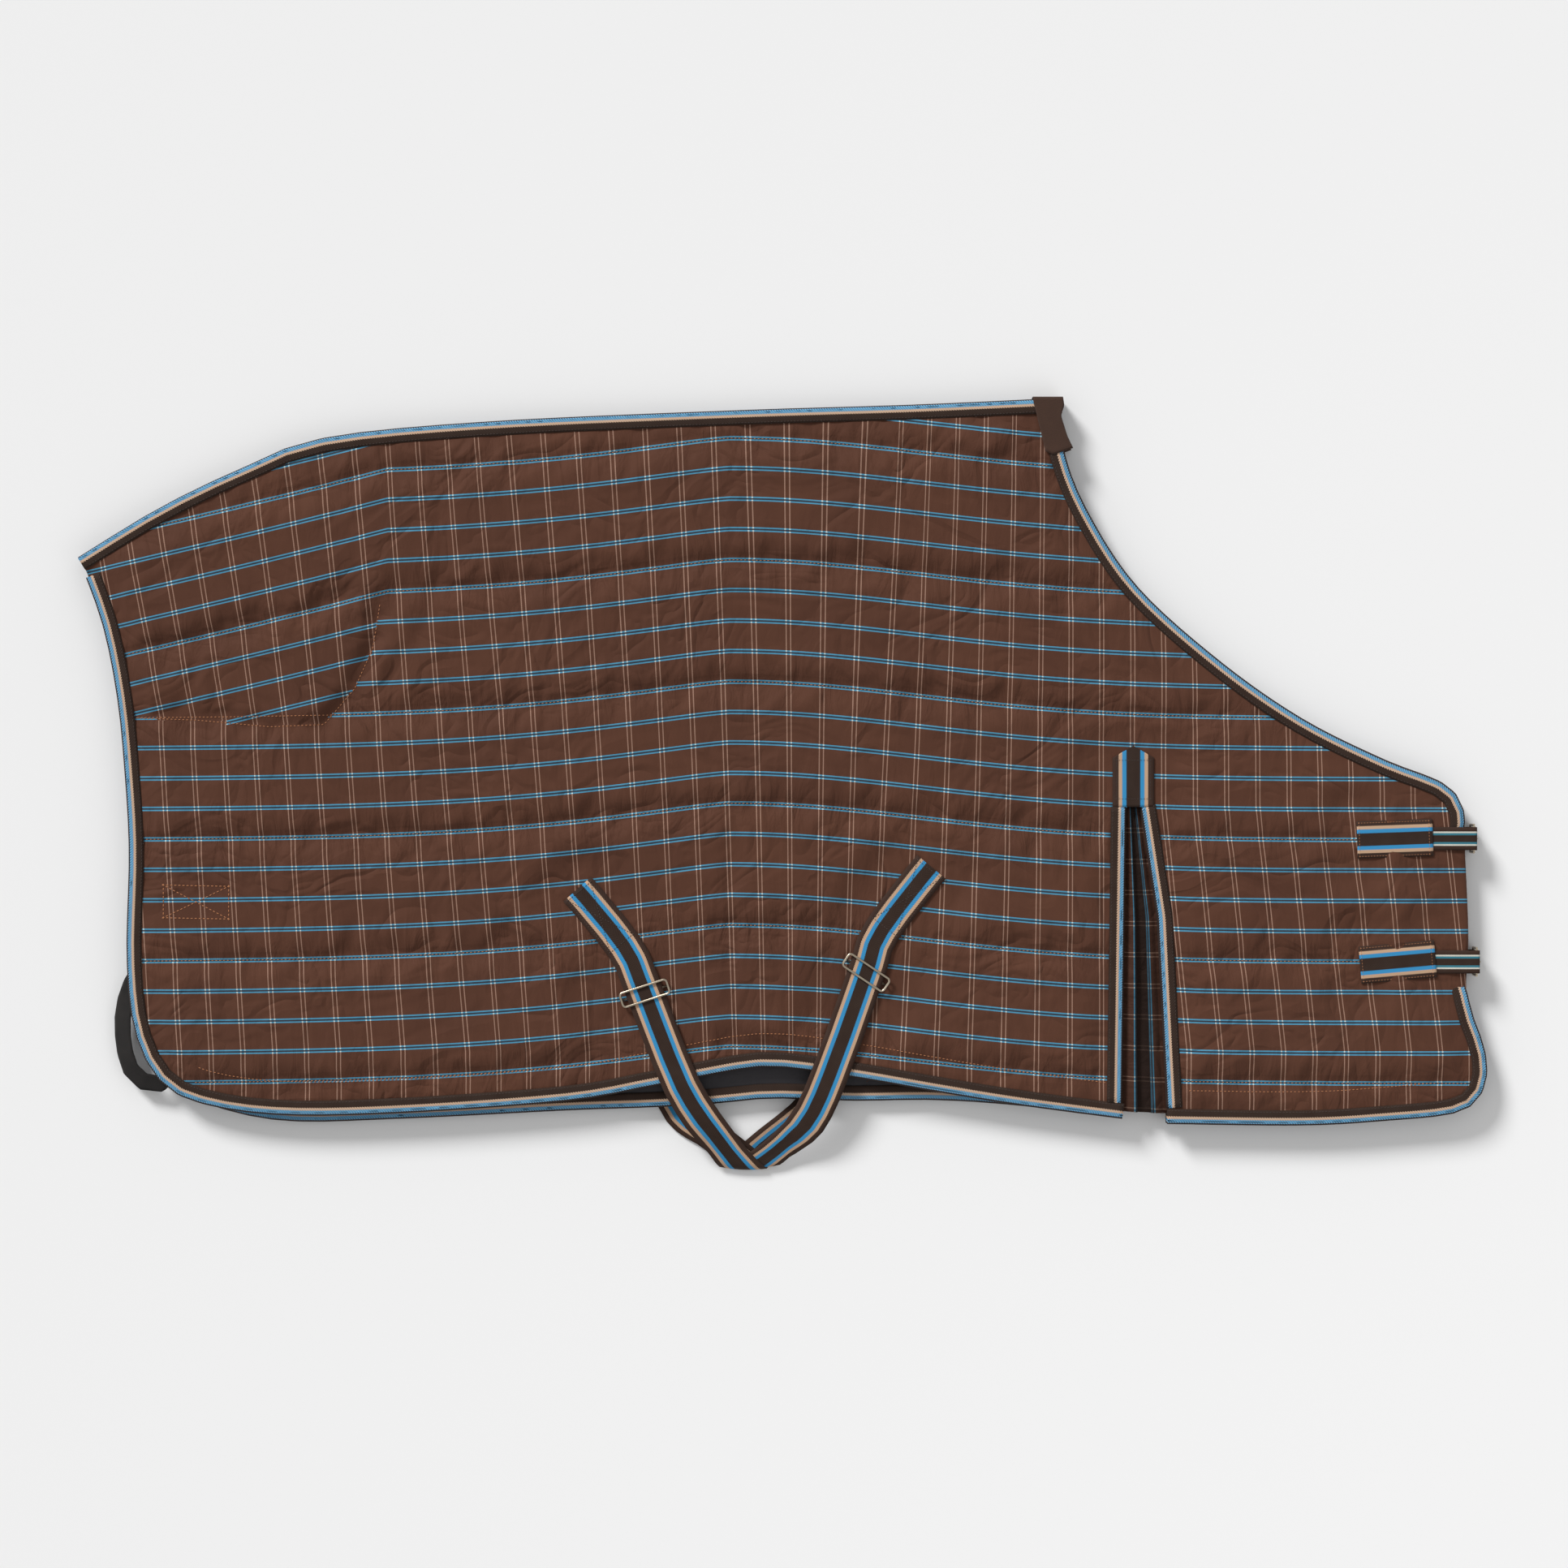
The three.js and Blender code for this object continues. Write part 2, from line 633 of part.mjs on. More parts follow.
// ---- chest straps: billet on the right half, roller buckle on the left ----
function chestFastening(level, y, patchTilt) {
  const edge = chestEdgeX(y);
  const patchX = edge - 100;
  const billetZ = onRight + chestPly / 2;
  const overBinding = rightBindingTop + gap + chestPly / 2;
  const insideX = edge + 3.2;
  const frameX = insideX + chestPly / 2 + gap + rollerRadius;
  const loopRadius = buckleBar + gap + chestPly;
  const keeperPly = 0.8;
  const tailZ = keeperPly + gap + chestPly / 2;
  const chapeLow = tailZ + chestPly / 2 + gap;
  const chapeHigh = chapeLow + 2 * chestPly;
  const backBarZ = chapeLow + loopRadius;
  const frontBarZ = backBarZ + buckleHeight;
  const billetRadius = loopRadius + gap + chestPly / 2;
  const flangeX = edge - tapeReach;
  const v = (x, z) => new THREE.Vector2(x, z);

  const billetLine = [
    v(patchX - patchLength / 2 + 6, billetZ), v(flangeX - 14, billetZ), v(flangeX - 3, overBinding),
    ...arc(insideX - 4.5, overBinding - 4.5, 4.5, 90, 0, 4),
    v(insideX, frontBarZ - rollerRadius - 1.5), v(frameX + billetRadius, backBarZ + 7),
    ...arc(frameX, backBarZ, billetRadius, 0, -90, 5), v(patchX - 20, tailZ),
  ];
  const sides = [...offset(billetLine, chestPly / 2), ...offset(billetLine, -chestPly / 2).reverse()];
  const prongSlot = box(frameX - 1, frameX + 12, -3.1, 3.1, backBarZ - 2.4, backBarZ + 16.5);
  const billet = cut(upright(sides, chestStrapWidth), prongSlot);

  const ring = (outer, inner, width) => upright(
    arc(0, 0, outer, 0, 342, 19), width, [arc(0, 0, inner, 0, 342, 19).reverse()],
  ).translate(frameX, 0, backBarZ);
  const side = chestStrapWidth / 2;
  const chapeTail = box(patchX - patchLength / 2 + 14, frameX - 2, -side, side, chapeLow, chapeHigh);
  const chapeTurn = box(frameX - 2.5, frameX, -side, side, chapeLow, chapeLow + chestPly - 0.1);
  const chape = cut(
    join(ring(loopRadius, buckleBar + gap, chestStrapWidth), chapeTail, chapeTurn),
    box(frameX - 3.6, frameX + 4, -3.1, 3.1, backBarZ - 5, backBarZ + 5),
  );

  const wire = (length) => new THREE.CylinderGeometry(buckleBar, buckleBar, length, 16);
  const bar = (z) => wire(buckleWidth - 2 * buckleBar).translate(frameX, 0, z);
  const barMiddle = (backBarZ + frontBarZ) / 2;
  const sideBar = (end) => wire(buckleHeight + 2 * buckleBar).rotateX(Math.PI / 2)
    .translate(frameX, end * (buckleWidth / 2 - buckleBar), barMiddle);
  const frame = join(bar(backBarZ), bar(frontBarZ), sideBar(-1), sideBar(1));

  const rollerHole = arc(0, 0, buckleBar + gap, 0, 342, 19).reverse();
  const roller = upright(arc(0, 0, rollerRadius, 0, 342, 19), buckleWidth - 4 * buckleBar - 1, [rollerHole])
    .translate(frameX, 0, frontBarZ);

  const tip = v(frameX + rollerRadius + gap + prongRadius, frontBarZ + 1.5);
  const root = v(frameX + 1.6, backBarZ + 1.9);
  const armLength = tip.distanceTo(root);
  const lean = Math.atan2(tip.x - root.x, tip.y - root.y);
  const arm = new THREE.CapsuleGeometry(prongRadius, armLength, 4, 12)
    .rotateX(Math.PI / 2).rotateY(lean).translate((tip.x + root.x) / 2, 0, (tip.y + root.y) / 2);
  const eye = ring(buckleBar + 1.4, buckleBar + gap, 5);
  const clearOfBar = new THREE.CylinderGeometry(buckleBar + gap, buckleBar + gap, 20, 20)
    .translate(frameX, 0, backBarZ);
  const prong = cut(join(eye, arm), clearOfBar);

  const keeperX = flangeX - 16;
  const keeperHigh = chapeHigh + gap + keeperPly;
  const keeperHole = rectangle(keeperPly, keeperHigh - keeperPly, side + 0.6);
  const keeper = slab(rectangle(0, keeperHigh, side + 1.6), -5, 5, [keeperHole])
    .rotateY(-Math.PI / 2).translate(keeperX, 0, 0);

  const patchShape = rectangle(-patchLength / 2, patchLength / 2, patchWidth / 2);
  const patch = (low) => slab(patchShape, low, low + patchPly)
    .rotateZ(THREE.MathUtils.degToRad(patchTilt)).translate(patchX, 0, 0);
  const parts = [
    [`right_${level}_chest_patch`, patch(onRight + chestPly + gap), webbing()],
    [`${level}_billet`, billet, webbing()],
    [`left_${level}_chest_patch`, patch(chapeHigh + gap), webbing()],
    [`${level}_chape`, chape, webbing()],
    [`${level}_buckle_frame`, frame, nickel()],
    [`${level}_buckle_roller`, roller, nickel()],
    [`${level}_buckle_prong`, prong, nickel()],
    [`${level}_keeper`, keeper, webbing()],
  ];
  for (const [label, geometry, material] of parts) piece(label, geometry, material).position.y = y;
}

chestFastening('upper', place(0, -592).y, 2);
chestFastening('lower', place(0, -758).y, 5);

// ---- tail strap: sewn inside both halves, looping out round the rear edge ----
const tailRoute = new THREE.CatmullRomCurve3([
  [-1120, -716, 1], [-1172, -735, 1], [-1222, -765, 1], [-1246, -812, 0.9], [-1249, -862, 0.7],
  [-1236, -908, 0.4], [-1205, -925, 0.1], [-1176, -893, 0], [-1155, -820, 0], [-1132, -724, 0],
].map(([x, y, height]) => {
  const at = place(x, y);
  const z = THREE.MathUtils.lerp(leftInnerPlyZ, rightInnerPlyZ, height) + tailStrapPly / 2;
  return new THREE.Vector3(at.x, at.y, z);
}));
const tailPoints = tailRoute.getSpacedPoints(44);
const tailPlan = tailPoints.map((point) => new THREE.Vector2(point.x, point.y));
const tailAcross = leftward(tailPlan);
const flatSection = [[-1, -1], [1, -1], [1, 1], [-1, 1]].map(([x, y]) => new THREE.Vector2(x, y));
piece('tail_strap', sweep(tailPoints.length, flatSection, (i, j) => {
  const at = tailPlan[i].clone().addScaledVector(tailAcross[i], (flatSection[j].x * tailStrapWidth) / 2);
  return new THREE.Vector3(at.x, at.y, tailPoints[i].z + (flatSection[j].y * tailStrapPly) / 2);
}), blackWebbing());

// ---- origin at the middle of the base ----
const extent = new THREE.Box3().setFromObject(object);
const middle = extent.getCenter(new THREE.Vector3());
object.position.set(-middle.x, -middle.y, -extent.min.z);

export default object;
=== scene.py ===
# %% [markdown]
# # A quilted horse rug, folded flat
# The rug lies on its near side, folded along the spine, with the head end towards +X and the spine towards
# +Y. The CAD frame gives every piece its place. Here each soft piece is made again as real cloth, webbing
# or stitching, and the metal parts of the frame get their finish.

# %% Frame
import bpy
import math
import numpy as np
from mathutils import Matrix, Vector, noise
from mathutils.bvhtree import BVHTree


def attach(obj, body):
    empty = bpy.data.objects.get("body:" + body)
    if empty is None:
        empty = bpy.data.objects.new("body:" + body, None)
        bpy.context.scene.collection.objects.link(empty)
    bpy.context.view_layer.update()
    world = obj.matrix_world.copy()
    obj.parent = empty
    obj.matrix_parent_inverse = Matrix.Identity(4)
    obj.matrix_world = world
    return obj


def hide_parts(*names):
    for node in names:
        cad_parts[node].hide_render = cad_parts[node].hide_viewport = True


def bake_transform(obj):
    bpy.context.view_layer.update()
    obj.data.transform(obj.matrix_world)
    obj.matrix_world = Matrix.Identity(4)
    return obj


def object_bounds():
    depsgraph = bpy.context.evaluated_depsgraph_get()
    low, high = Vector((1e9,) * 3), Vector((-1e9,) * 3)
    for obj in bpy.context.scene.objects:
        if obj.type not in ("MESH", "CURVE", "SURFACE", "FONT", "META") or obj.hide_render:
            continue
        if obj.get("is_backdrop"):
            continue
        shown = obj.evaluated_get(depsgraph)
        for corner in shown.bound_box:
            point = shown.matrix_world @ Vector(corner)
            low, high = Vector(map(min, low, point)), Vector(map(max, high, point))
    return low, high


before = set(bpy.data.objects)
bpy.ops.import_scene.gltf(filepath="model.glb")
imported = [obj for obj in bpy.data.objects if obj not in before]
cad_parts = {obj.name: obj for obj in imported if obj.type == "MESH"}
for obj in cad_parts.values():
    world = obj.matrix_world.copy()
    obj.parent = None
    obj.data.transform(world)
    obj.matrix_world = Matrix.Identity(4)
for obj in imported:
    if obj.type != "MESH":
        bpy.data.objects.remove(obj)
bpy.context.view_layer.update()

MM = 0.001


# %% [markdown]
# ## Camera, floor and light
# A rug is laid out on a pale floor and looked at from straight above. A long lens keeps its outline free
# of perspective. A soft sun from the tail and spine leaves a gentle shade in every quilted channel, and one
# wide, weak lamp from the opposite side fills the shadows.

# %% Camera and light
CAMERA_HEIGHT = 5.02
LENS_MM = 85
SUN_ANGLE = 16  # degrees across: a wide sun gives soft shadows


def aim_camera():
    bpy.ops.object.select_all(action="DESELECT")
    bpy.ops.object.camera_add(location=(0.002, 0, CAMERA_HEIGHT), rotation=(0, 0, 0))
    camera = bpy.context.object
    camera.data.lens = LENS_MM
    camera.data.sensor_width = 36
    camera.data.clip_end = 50
    bpy.context.scene.camera = camera
    return camera


def soft_lamp(name, location, size, power):
    bpy.ops.object.light_add(type="AREA", location=location)
    lamp = bpy.context.object
    lamp.name = name
    lamp.data.size = size
    lamp.data.energy = power
    lamp.rotation_euler = (-Vector(location)).to_track_quat("-Z", "Y").to_euler()
    return lamp


def soft_sun(name, direction, strength):
    bpy.ops.object.light_add(type="SUN", location=direction)
    lamp = bpy.context.object
    lamp.name = name
    lamp.data.energy = strength
    lamp.data.angle = math.radians(SUN_ANGLE)
    lamp.rotation_euler = (-Vector(direction)).to_track_quat("-Z", "Y").to_euler()
    return lamp


camera = aim_camera()
soft_sun("window_light", (-0.85, 1.15, 0.80), 3.0)
soft_lamp("fill_light", (2.2, -1.8, 3.4), 3.0, 14)

world = bpy.data.worlds.new("studio")
bpy.context.scene.world = world
world.use_nodes = True
world.node_tree.nodes["Background"].inputs["Color"].default_value = (1, 1, 1, 1)
world.node_tree.nodes["Background"].inputs["Strength"].default_value = 0.50
bpy.context.scene.view_settings.view_transform = "Standard"
print("camera looks straight down from", camera.location.z, "m")


# %% Floor
FLOOR_SIZE, FLOOR_Z = 60, -0.0005


def plain_floor():
    bpy.ops.mesh.primitive_plane_add(size=FLOOR_SIZE, location=(0, 0, FLOOR_Z))
    floor = bpy.context.object
    floor.name = "pale_floor"
    paper = bpy.data.materials.new("pale_paper")
    paper.use_nodes = True
    shader = paper.node_tree.nodes["Principled BSDF"]
    shader.inputs["Base Color"].default_value = (0.86, 0.86, 0.86, 1)
    shader.inputs["Roughness"].default_value = 0.9
    floor.data.materials.append(paper)
    floor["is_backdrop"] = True
    return floor


plain_floor()


# %% [markdown]
# ## Helpers for finishes
# Every finish is a small network of nodes that ends in one Principled shader. A short class keeps the
# networks readable: it adds a node, sets its values and joins it to what feeds it.

# %% Finish helper
def rgb(red, green, blue):
    """An 8-bit colour as linear light."""
    def linear(value):
        value /= 255
        return value / 12.92 if value <= 0.04045 else ((value + 0.055) / 1.055) ** 2.4
    return (linear(red), linear(green), linear(blue), 1)


class Finish:
    def __init__(self, name, roughness=0.8, sheen=0.0, metallic=0.0, specular=0.5):
        self.material = bpy.data.materials.new(name)
        self.material.use_nodes = True
        self.tree = self.material.node_tree
        self.shader = self.tree.nodes["Principled BSDF"]
        self.shader.inputs["Roughness"].default_value = roughness
        self.shader.inputs["Metallic"].default_value = metallic
        self.shader.inputs["Specular IOR Level"].default_value = specular
        self.shader.inputs["Sheen Weight"].default_value = sheen
        self.shader.inputs["Sheen Roughness"].default_value = 0.5

    def node(self, kind, **sockets):
        made = self.tree.nodes.new("ShaderNode" + kind)
        for name, value in sockets.items():
            self.feed(made.inputs[name.replace("_", " ")], value)
        return made

    def feed(self, socket, value):
        if isinstance(value, bpy.types.NodeSocket):
            self.tree.links.new(value, socket)
        else:
            socket.default_value = value

    def math(self, operation, first, second=0.0):
        made = self.node("Math")
        made.operation = operation
        for socket, value in zip(made.inputs, (first, second)):
            self.feed(socket, value)
        return made.outputs[0]

    def plus(self, first, second):
        return self.math("ADD", first, second)

    def minus(self, first, second):
        return self.math("SUBTRACT", first, second)

    def times(self, first, second):
        return self.math("MULTIPLY", first, second)

    def over(self, first, second):
        return self.math("DIVIDE", first, second)

    def across(self, layer):
        """The two coordinates of a piece's own UV layer, in metres."""
        where = self.node("UVMap")
        where.uv_map = layer
        split = self.node("SeparateXYZ", Vector=where.outputs[0])
        return where.outputs[0], split.outputs[0], split.outputs[1]

    def from_place(self):
        return self.node("TexCoord").outputs["Object"]

    def mottle(self, where, scale, detail=3.0):
        made = self.node("TexNoise", Vector=where, Scale=scale, Detail=detail)
        return made.outputs[0]

    def blend(self, share, first, second, mode="MIX"):
        made = self.tree.nodes.new("ShaderNodeMix")
        made.data_type = "RGBA"
        made.blend_type = mode
        self.feed(made.inputs[0], share)
        self.feed(made.inputs[6], first)
        self.feed(made.inputs[7], second)
        return made.outputs[2]

    def band(self, value, middle, half):
        """1 where value lies within half of middle, 0 elsewhere."""
        away = self.math("ABSOLUTE", self.minus(value, middle))
        return self.math("LESS_THAN", away, half)

    def ends(self, colour, height=None, depth=0.0003, roughness=None):
        self.feed(self.shader.inputs["Base Color"], colour)
        if roughness is not None:
            self.feed(self.shader.inputs["Roughness"], roughness)
        if height is not None:
            bump = self.node("Bump", Height=height, Distance=depth, Strength=1.0)
            self.feed(self.shader.inputs["Normal"], bump.outputs[0])
        return self.material


# %% [markdown]
# ## The woven check
# The outer cloth is a fine twill. Two blue threads with a teal line between them run along the rug every
# 41 mm, and two thin beige ones run down it every 42 mm. Where they cross, both show pale. The lines are
# drawn on a UV layer in metres, so they follow the cloth when it is pulled by a seam.

# %% Check cloth
LINE_STEP = 41 * MM  # between two level lines
UPRIGHT_STEP = 42 * MM  # between two upright lines
ROW_STEP = 4 * LINE_STEP  # between two rows of quilting
TWILL_RIB = 0.0019
BLUE_BAND = (0.0021, 0.00088)  # how far from the line's middle, and half its width
BEIGE_BAND = (0.0027, 0.00068)
CROSSING_BAND = (0.0027, 0.0010)
TEAL_HALF = 0.0014
SEAM_HALF, GATHER_REACH = 0.011, 0.055  # how far a row's groove and its gathers reach


def woven_check(name, shade=0.0):
    """The check. shade blends it towards near black, a painted shade for cloth that lies deep in a pleat."""
    cloth = Finish(name, roughness=0.80, sheen=0.03, specular=0.18)
    where, along, down = cloth.across("weave")

    def from_line(value, period):
        """How far value is from the nearest of a family of even lines."""
        wrapped = cloth.math("FRACT", cloth.plus(cloth.over(value, period), 0.5))
        return cloth.times(cloth.math("ABSOLUTE", cloth.minus(wrapped, 0.5)), period)

    def ramp(value, reach):
        return cloth.math("MINIMUM", cloth.over(value, reach), 1.0)

    twill = cloth.math("FRACT", cloth.over(cloth.plus(along, down), TWILL_RIB))
    thread = cloth.math("LESS_THAN", twill, 0.62)
    level = from_line(down, LINE_STEP)
    upright = from_line(along, UPRIGHT_STEP)
    blue = cloth.band(level, *BLUE_BAND)
    teal = cloth.math("LESS_THAN", level, TEAL_HALF)
    beige = cloth.times(cloth.band(upright, *BEIGE_BAND), cloth.plus(0.30, cloth.times(thread, 0.4)))
    pale = cloth.times(cloth.times(blue, cloth.band(upright, *CROSSING_BAND)), 0.85)

    fade = cloth.mottle(where, 7.0)
    fine = cloth.mottle(where, 900.0)
    colour = cloth.blend(fade, rgb(76, 45, 32), rgb(96, 61, 45))
    for share, shown in (
        (cloth.times(thread, 0.22), rgb(66, 42, 32)), (beige, rgb(178, 143, 124)),
        (cloth.times(teal, 0.75), rgb(32, 60, 76)), (cloth.times(blue, 0.92), rgb(74, 146, 178)),
        (pale, rgb(188, 216, 220)),
    ):
        colour = cloth.blend(share, colour, shown)
    # Painted shade: the colour is blended towards near black by shade, standing in for the shade deep in the
    # pleat.
    if shade:
        colour = cloth.blend(shade, colour, (0.006, 0.004, 0.003, 1))

    height = cloth.plus(cloth.times(thread, 0.5), cloth.times(fine, 0.6))
    stretched = cloth.node("Mapping", Vector=where, Scale=(46, 15, 1)).outputs[0]
    puckers = cloth.node("TexNoise", Vector=stretched, Scale=1.0, Detail=4.0, Distortion=0.8).outputs[0]
    from_row = from_line(down, ROW_STEP)
    channel = ramp(from_row, SEAM_HALF)
    drawn = cloth.minus(1.0, ramp(from_row, GATHER_REACH))
    wrinkle = cloth.node("TexNoise", Vector=where, Scale=8.5, Detail=2.0, Distortion=1.4).outputs[0]
    crease = cloth.times(cloth.math("ABSOLUTE", cloth.minus(wrinkle, 0.5)), 9.0)
    crease = cloth.math("MINIMUM", crease, 1.0)
    relief = cloth.plus(cloth.times(height, 0.1), cloth.times(channel, 0.8))
    gathered = cloth.plus(1.1, cloth.times(drawn, 3.2))
    relief = cloth.plus(relief, cloth.times(puckers, gathered))
    relief = cloth.plus(relief, cloth.times(crease, 1.1))
    roughness = cloth.plus(0.7, cloth.times(fade, 0.2))
    return cloth.ends(colour, relief, depth=0.0016, roughness=roughness)


check_cloth = woven_check("woven_check")
# Two copies of the check with painted shade: a darker one for the pleat's flaps, a much darker one for its
# hollow.
pleat_cloth_painted_shade = woven_check("woven_check_painted_shade", shade=0.45)
hollow_cloth_painted_shade = woven_check("woven_check_painted_hollow_shade", shade=0.86)
print("finishes", check_cloth.name, pleat_cloth_painted_shade.name, hollow_cloth_painted_shade.name)


# %% Lining cloth
def plain_lining():
    lining = Finish("plain_lining", roughness=0.55, sheen=0.1, specular=0.4)
    where = lining.from_place()
    shade = lining.mottle(where, 14.0)
    colour = lining.blend(shade, rgb(30, 28, 33), rgb(44, 40, 44))
    weave = lining.times(lining.mottle(where, 900.0), 0.15)
    height = lining.plus(lining.mottle(where, 60.0), weave)
    return lining.ends(colour, height, depth=0.0012)


lining_cloth = plain_lining()


# %% [markdown]
# ## The quilted halves
# Each half is a shell and a lining with wadding between them, stitched through in long rows. Each is made as
# one padded body: a primitive grid is trimmed to the outline of the CAD shell, given its thickness, pinned
# along the rows, and blown up a little by a cloth simulation, as wadding does.

# %% Where the cloth is pulled
ARCH_X = -70.5 * MM
ARCH_DROP = 49.5 * MM
ROW_START = -26.1 * MM
RUMP_X = -532 * MM
RUMP_SLOPE = 0.225
dart = np.array([
    (-900, 90), (-790, 86), (-690, 77), (-618, 80), (-577, 128), (-552, 183), (-543, 240),
]) * MM


def line_distance(x, y, line):
    """Distance from points to a line through several points, and which side of it they are on."""
    best = np.full(x.shape, 1e9)
    side = np.zeros(x.shape)
    for (ax, ay), (bx, by) in zip(line[:-1], line[1:]):
        dx, dy = bx - ax, by - ay
        t = np.clip(((x - ax) * dx + (y - ay) * dy) / (dx * dx + dy * dy), 0, 1)
        away = np.hypot(x - ax - t * dx, y - ay - t * dy)
        closer = away < best
        best = np.where(closer, away, best)
        side = np.where(closer, np.sign(dx * (y - ay) - dy * (x - ax)), side)
    return best, side


def arch_drop(x):
    behind = np.abs(np.minimum(x - ARCH_X, 0)) / 0.275
    ahead = np.maximum(x - ARCH_X, 0) / 0.363
    return ARCH_DROP * (1 - np.exp(-np.where(x < ARCH_X, behind ** 1.3, ahead ** 2)))


def rump_share(x, y):
    """1 above the dart and behind its crease, 0 elsewhere."""
    _, side = line_distance(x, y, dart)
    above = (side > 0) | (y > 0.24)
    return np.where(above & (x < RUMP_X + 0.04), 1.0, 0.0)


LEAN_AT = [-0.95, -0.60, -0.40, -0.05, 0.15, 0.40, 0.95]
LEAN = [0.05, 0.07, 0.09, 0.03, -0.05, 0.0, 0.01]
SLIT_X, SLIT_TOP, LEAN_END = 0.490, -0.030, -0.360


def weave_place(x, y, inside=None):
    """Where a point of the cloth lies on the flat weave. The upright lines lean as the cloth does."""
    inside = rump_share(x, y) if inside is None else inside
    pull = RUMP_SLOPE * np.maximum(RUMP_X - x, 0)
    down = y + arch_drop(x) + inside * pull - ROW_START
    lean = np.interp(x, LEAN_AT, LEAN) + 0.10 * ((x > SLIT_X) & (y < SLIT_TOP))
    along = x + lean * (np.maximum(y, LEAN_END) - SLIT_TOP)
    along += inside * 0.6 * RUMP_SLOPE * (y - 0.1) * np.clip((RUMP_X - x) / 0.35, 0, 1)
    return along + 0.0325, down


print("rows of quilting every", round(ROW_STEP * 1000), "mm")


# %% Outline of a half
def rim_of(node):
    """The outline of a flat CAD piece, as points in order."""
    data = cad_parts[node].data
    top = max(v.co.z for v in data.vertices)
    key = lambda i: tuple(round(c, 5) for c in data.vertices[i].co)
    uses = {}
    for face in data.polygons:
        if face.normal.z > 0.9 and data.vertices[face.vertices[0]].co.z > top - 1e-5:
            for a, b in face.edge_keys:
                uses.setdefault(frozenset((key(a), key(b))), []).append(face.index)
    following = {}
    for edge, faces in uses.items():
        if len(faces) == 1:
            a, b = edge
            following.setdefault(a, []).append(b)
            following.setdefault(b, []).append(a)
    start = min(following)
    loop = [start]
    before, at = None, start
    while True:
        after = [p for p in following[at] if p != before][0]
        if after == start:
            break
        loop.append(after)
        before, at = at, after
    points = np.array([(p[0], p[1]) for p in loop])
    ahead = np.roll(points, -1, axis=0)
    area = 0.5 * np.sum(points[:, 0] * ahead[:, 1] - ahead[:, 0] * points[:, 1])
    return points if area > 0 else points[::-1]


def inset_loop(points, distance):
    """The loop moved inwards; it runs anticlockwise."""
    before = points - np.roll(points, 1, axis=0)
    after = np.roll(points, -1, axis=0) - points
    normals = []
    for a, b in zip(before, after):
        a, b = a / np.linalg.norm(a), b / np.linalg.norm(b)
        left = np.array([-a[1] - b[1], a[0] + b[0]])
        left /= max(np.linalg.norm(left), 1e-9)
        normals.append(left / max(0.5, left @ np.array([-a[1], a[0]])))
    return points + np.array(normals) * distance


def inside_loop(x, y, loop):
    odd = np.zeros(x.shape, bool)
    for (ax, ay), (bx, by) in zip(loop, np.roll(loop, -1, axis=0)):
        if ay == by:
            continue
        crosses = ((ay > y) != (by > y)) & (x < (bx - ax) * (y - ay) / (by - ay) + ax)
        odd ^= crosses
    return odd


rims = {side: rim_of(f"{side}_outer_shell") for side in ("left", "right")}
print("outline points", {side: len(rim) for side, rim in rims.items()})


# %% Mesh helpers
def only(*objects):
    bpy.ops.object.select_all(action="DESELECT")
    for each in objects:
        each.select_set(True)
    bpy.context.view_layer.objects.active = objects[0]


def points_of(piece):
    flat = np.zeros(len(piece.data.vertices) * 3)
    piece.data.vertices.foreach_get("co", flat)
    return flat.reshape(-1, 3)


def set_points(piece, points):
    piece.data.vertices.foreach_set("co", np.asarray(points, float).ravel())
    piece.data.update()


def apply_all(piece):
    only(piece)
    for modifier in list(piece.modifiers):
        bpy.ops.object.modifier_apply(modifier=modifier.name)


def face_out(piece):
    only(piece)
    bpy.ops.object.mode_set(mode="EDIT")
    bpy.ops.mesh.select_all(action="SELECT")
    bpy.ops.mesh.normals_make_consistent(inside=False)
    bpy.ops.object.mode_set(mode="OBJECT")


def copy_of(piece, name):
    twin = piece.copy()
    twin.data = piece.data.copy()
    twin.name = name
    bpy.context.scene.collection.objects.link(twin)
    return twin


def give(piece, *finishes):
    piece.data.materials.clear()
    for finish in finishes:
        piece.data.materials.append(finish)
    piece.data.polygons.foreach_set("use_smooth", [True] * len(piece.data.polygons))
    return piece


def corner_indices(piece):
    """Which point each face corner stands on."""
    corners = np.zeros(len(piece.data.loops), int)
    piece.data.loops.foreach_get("vertex_index", corners)
    return corners


def delete_faces(piece, chosen):
    only(piece)
    bpy.ops.object.mode_set(mode="EDIT")
    bpy.ops.mesh.select_mode(type="FACE")
    bpy.ops.mesh.select_all(action="DESELECT")
    bpy.ops.object.mode_set(mode="OBJECT")
    piece.data.polygons.foreach_set("select", chosen)
    bpy.ops.object.mode_set(mode="EDIT")
    bpy.ops.mesh.delete(type="FACE")
    bpy.ops.object.mode_set(mode="OBJECT")


def lay_weave(piece):
    """Writes the weave layer: each corner's place on the flat cloth. A face is on one side of the dart."""
    points = points_of(piece)
    corners = corner_indices(piece)
    centres = np.array([face.center[:2] for face in piece.data.polygons])
    owner = np.repeat(np.arange(len(centres)), [face.loop_total for face in piece.data.polygons])
    above = rump_share(centres[:, 0], centres[:, 1])[owner]
    along, down = weave_place(points[corners, 0], points[corners, 1], above)
    while piece.data.uv_layers:
        piece.data.uv_layers.remove(piece.data.uv_layers[0])
    layer = piece.data.uv_layers.new(name="weave")
    layer.data.foreach_set("uv", np.column_stack((along, down)).ravel())


# %% Trimmed grid
GRID = 11 * MM


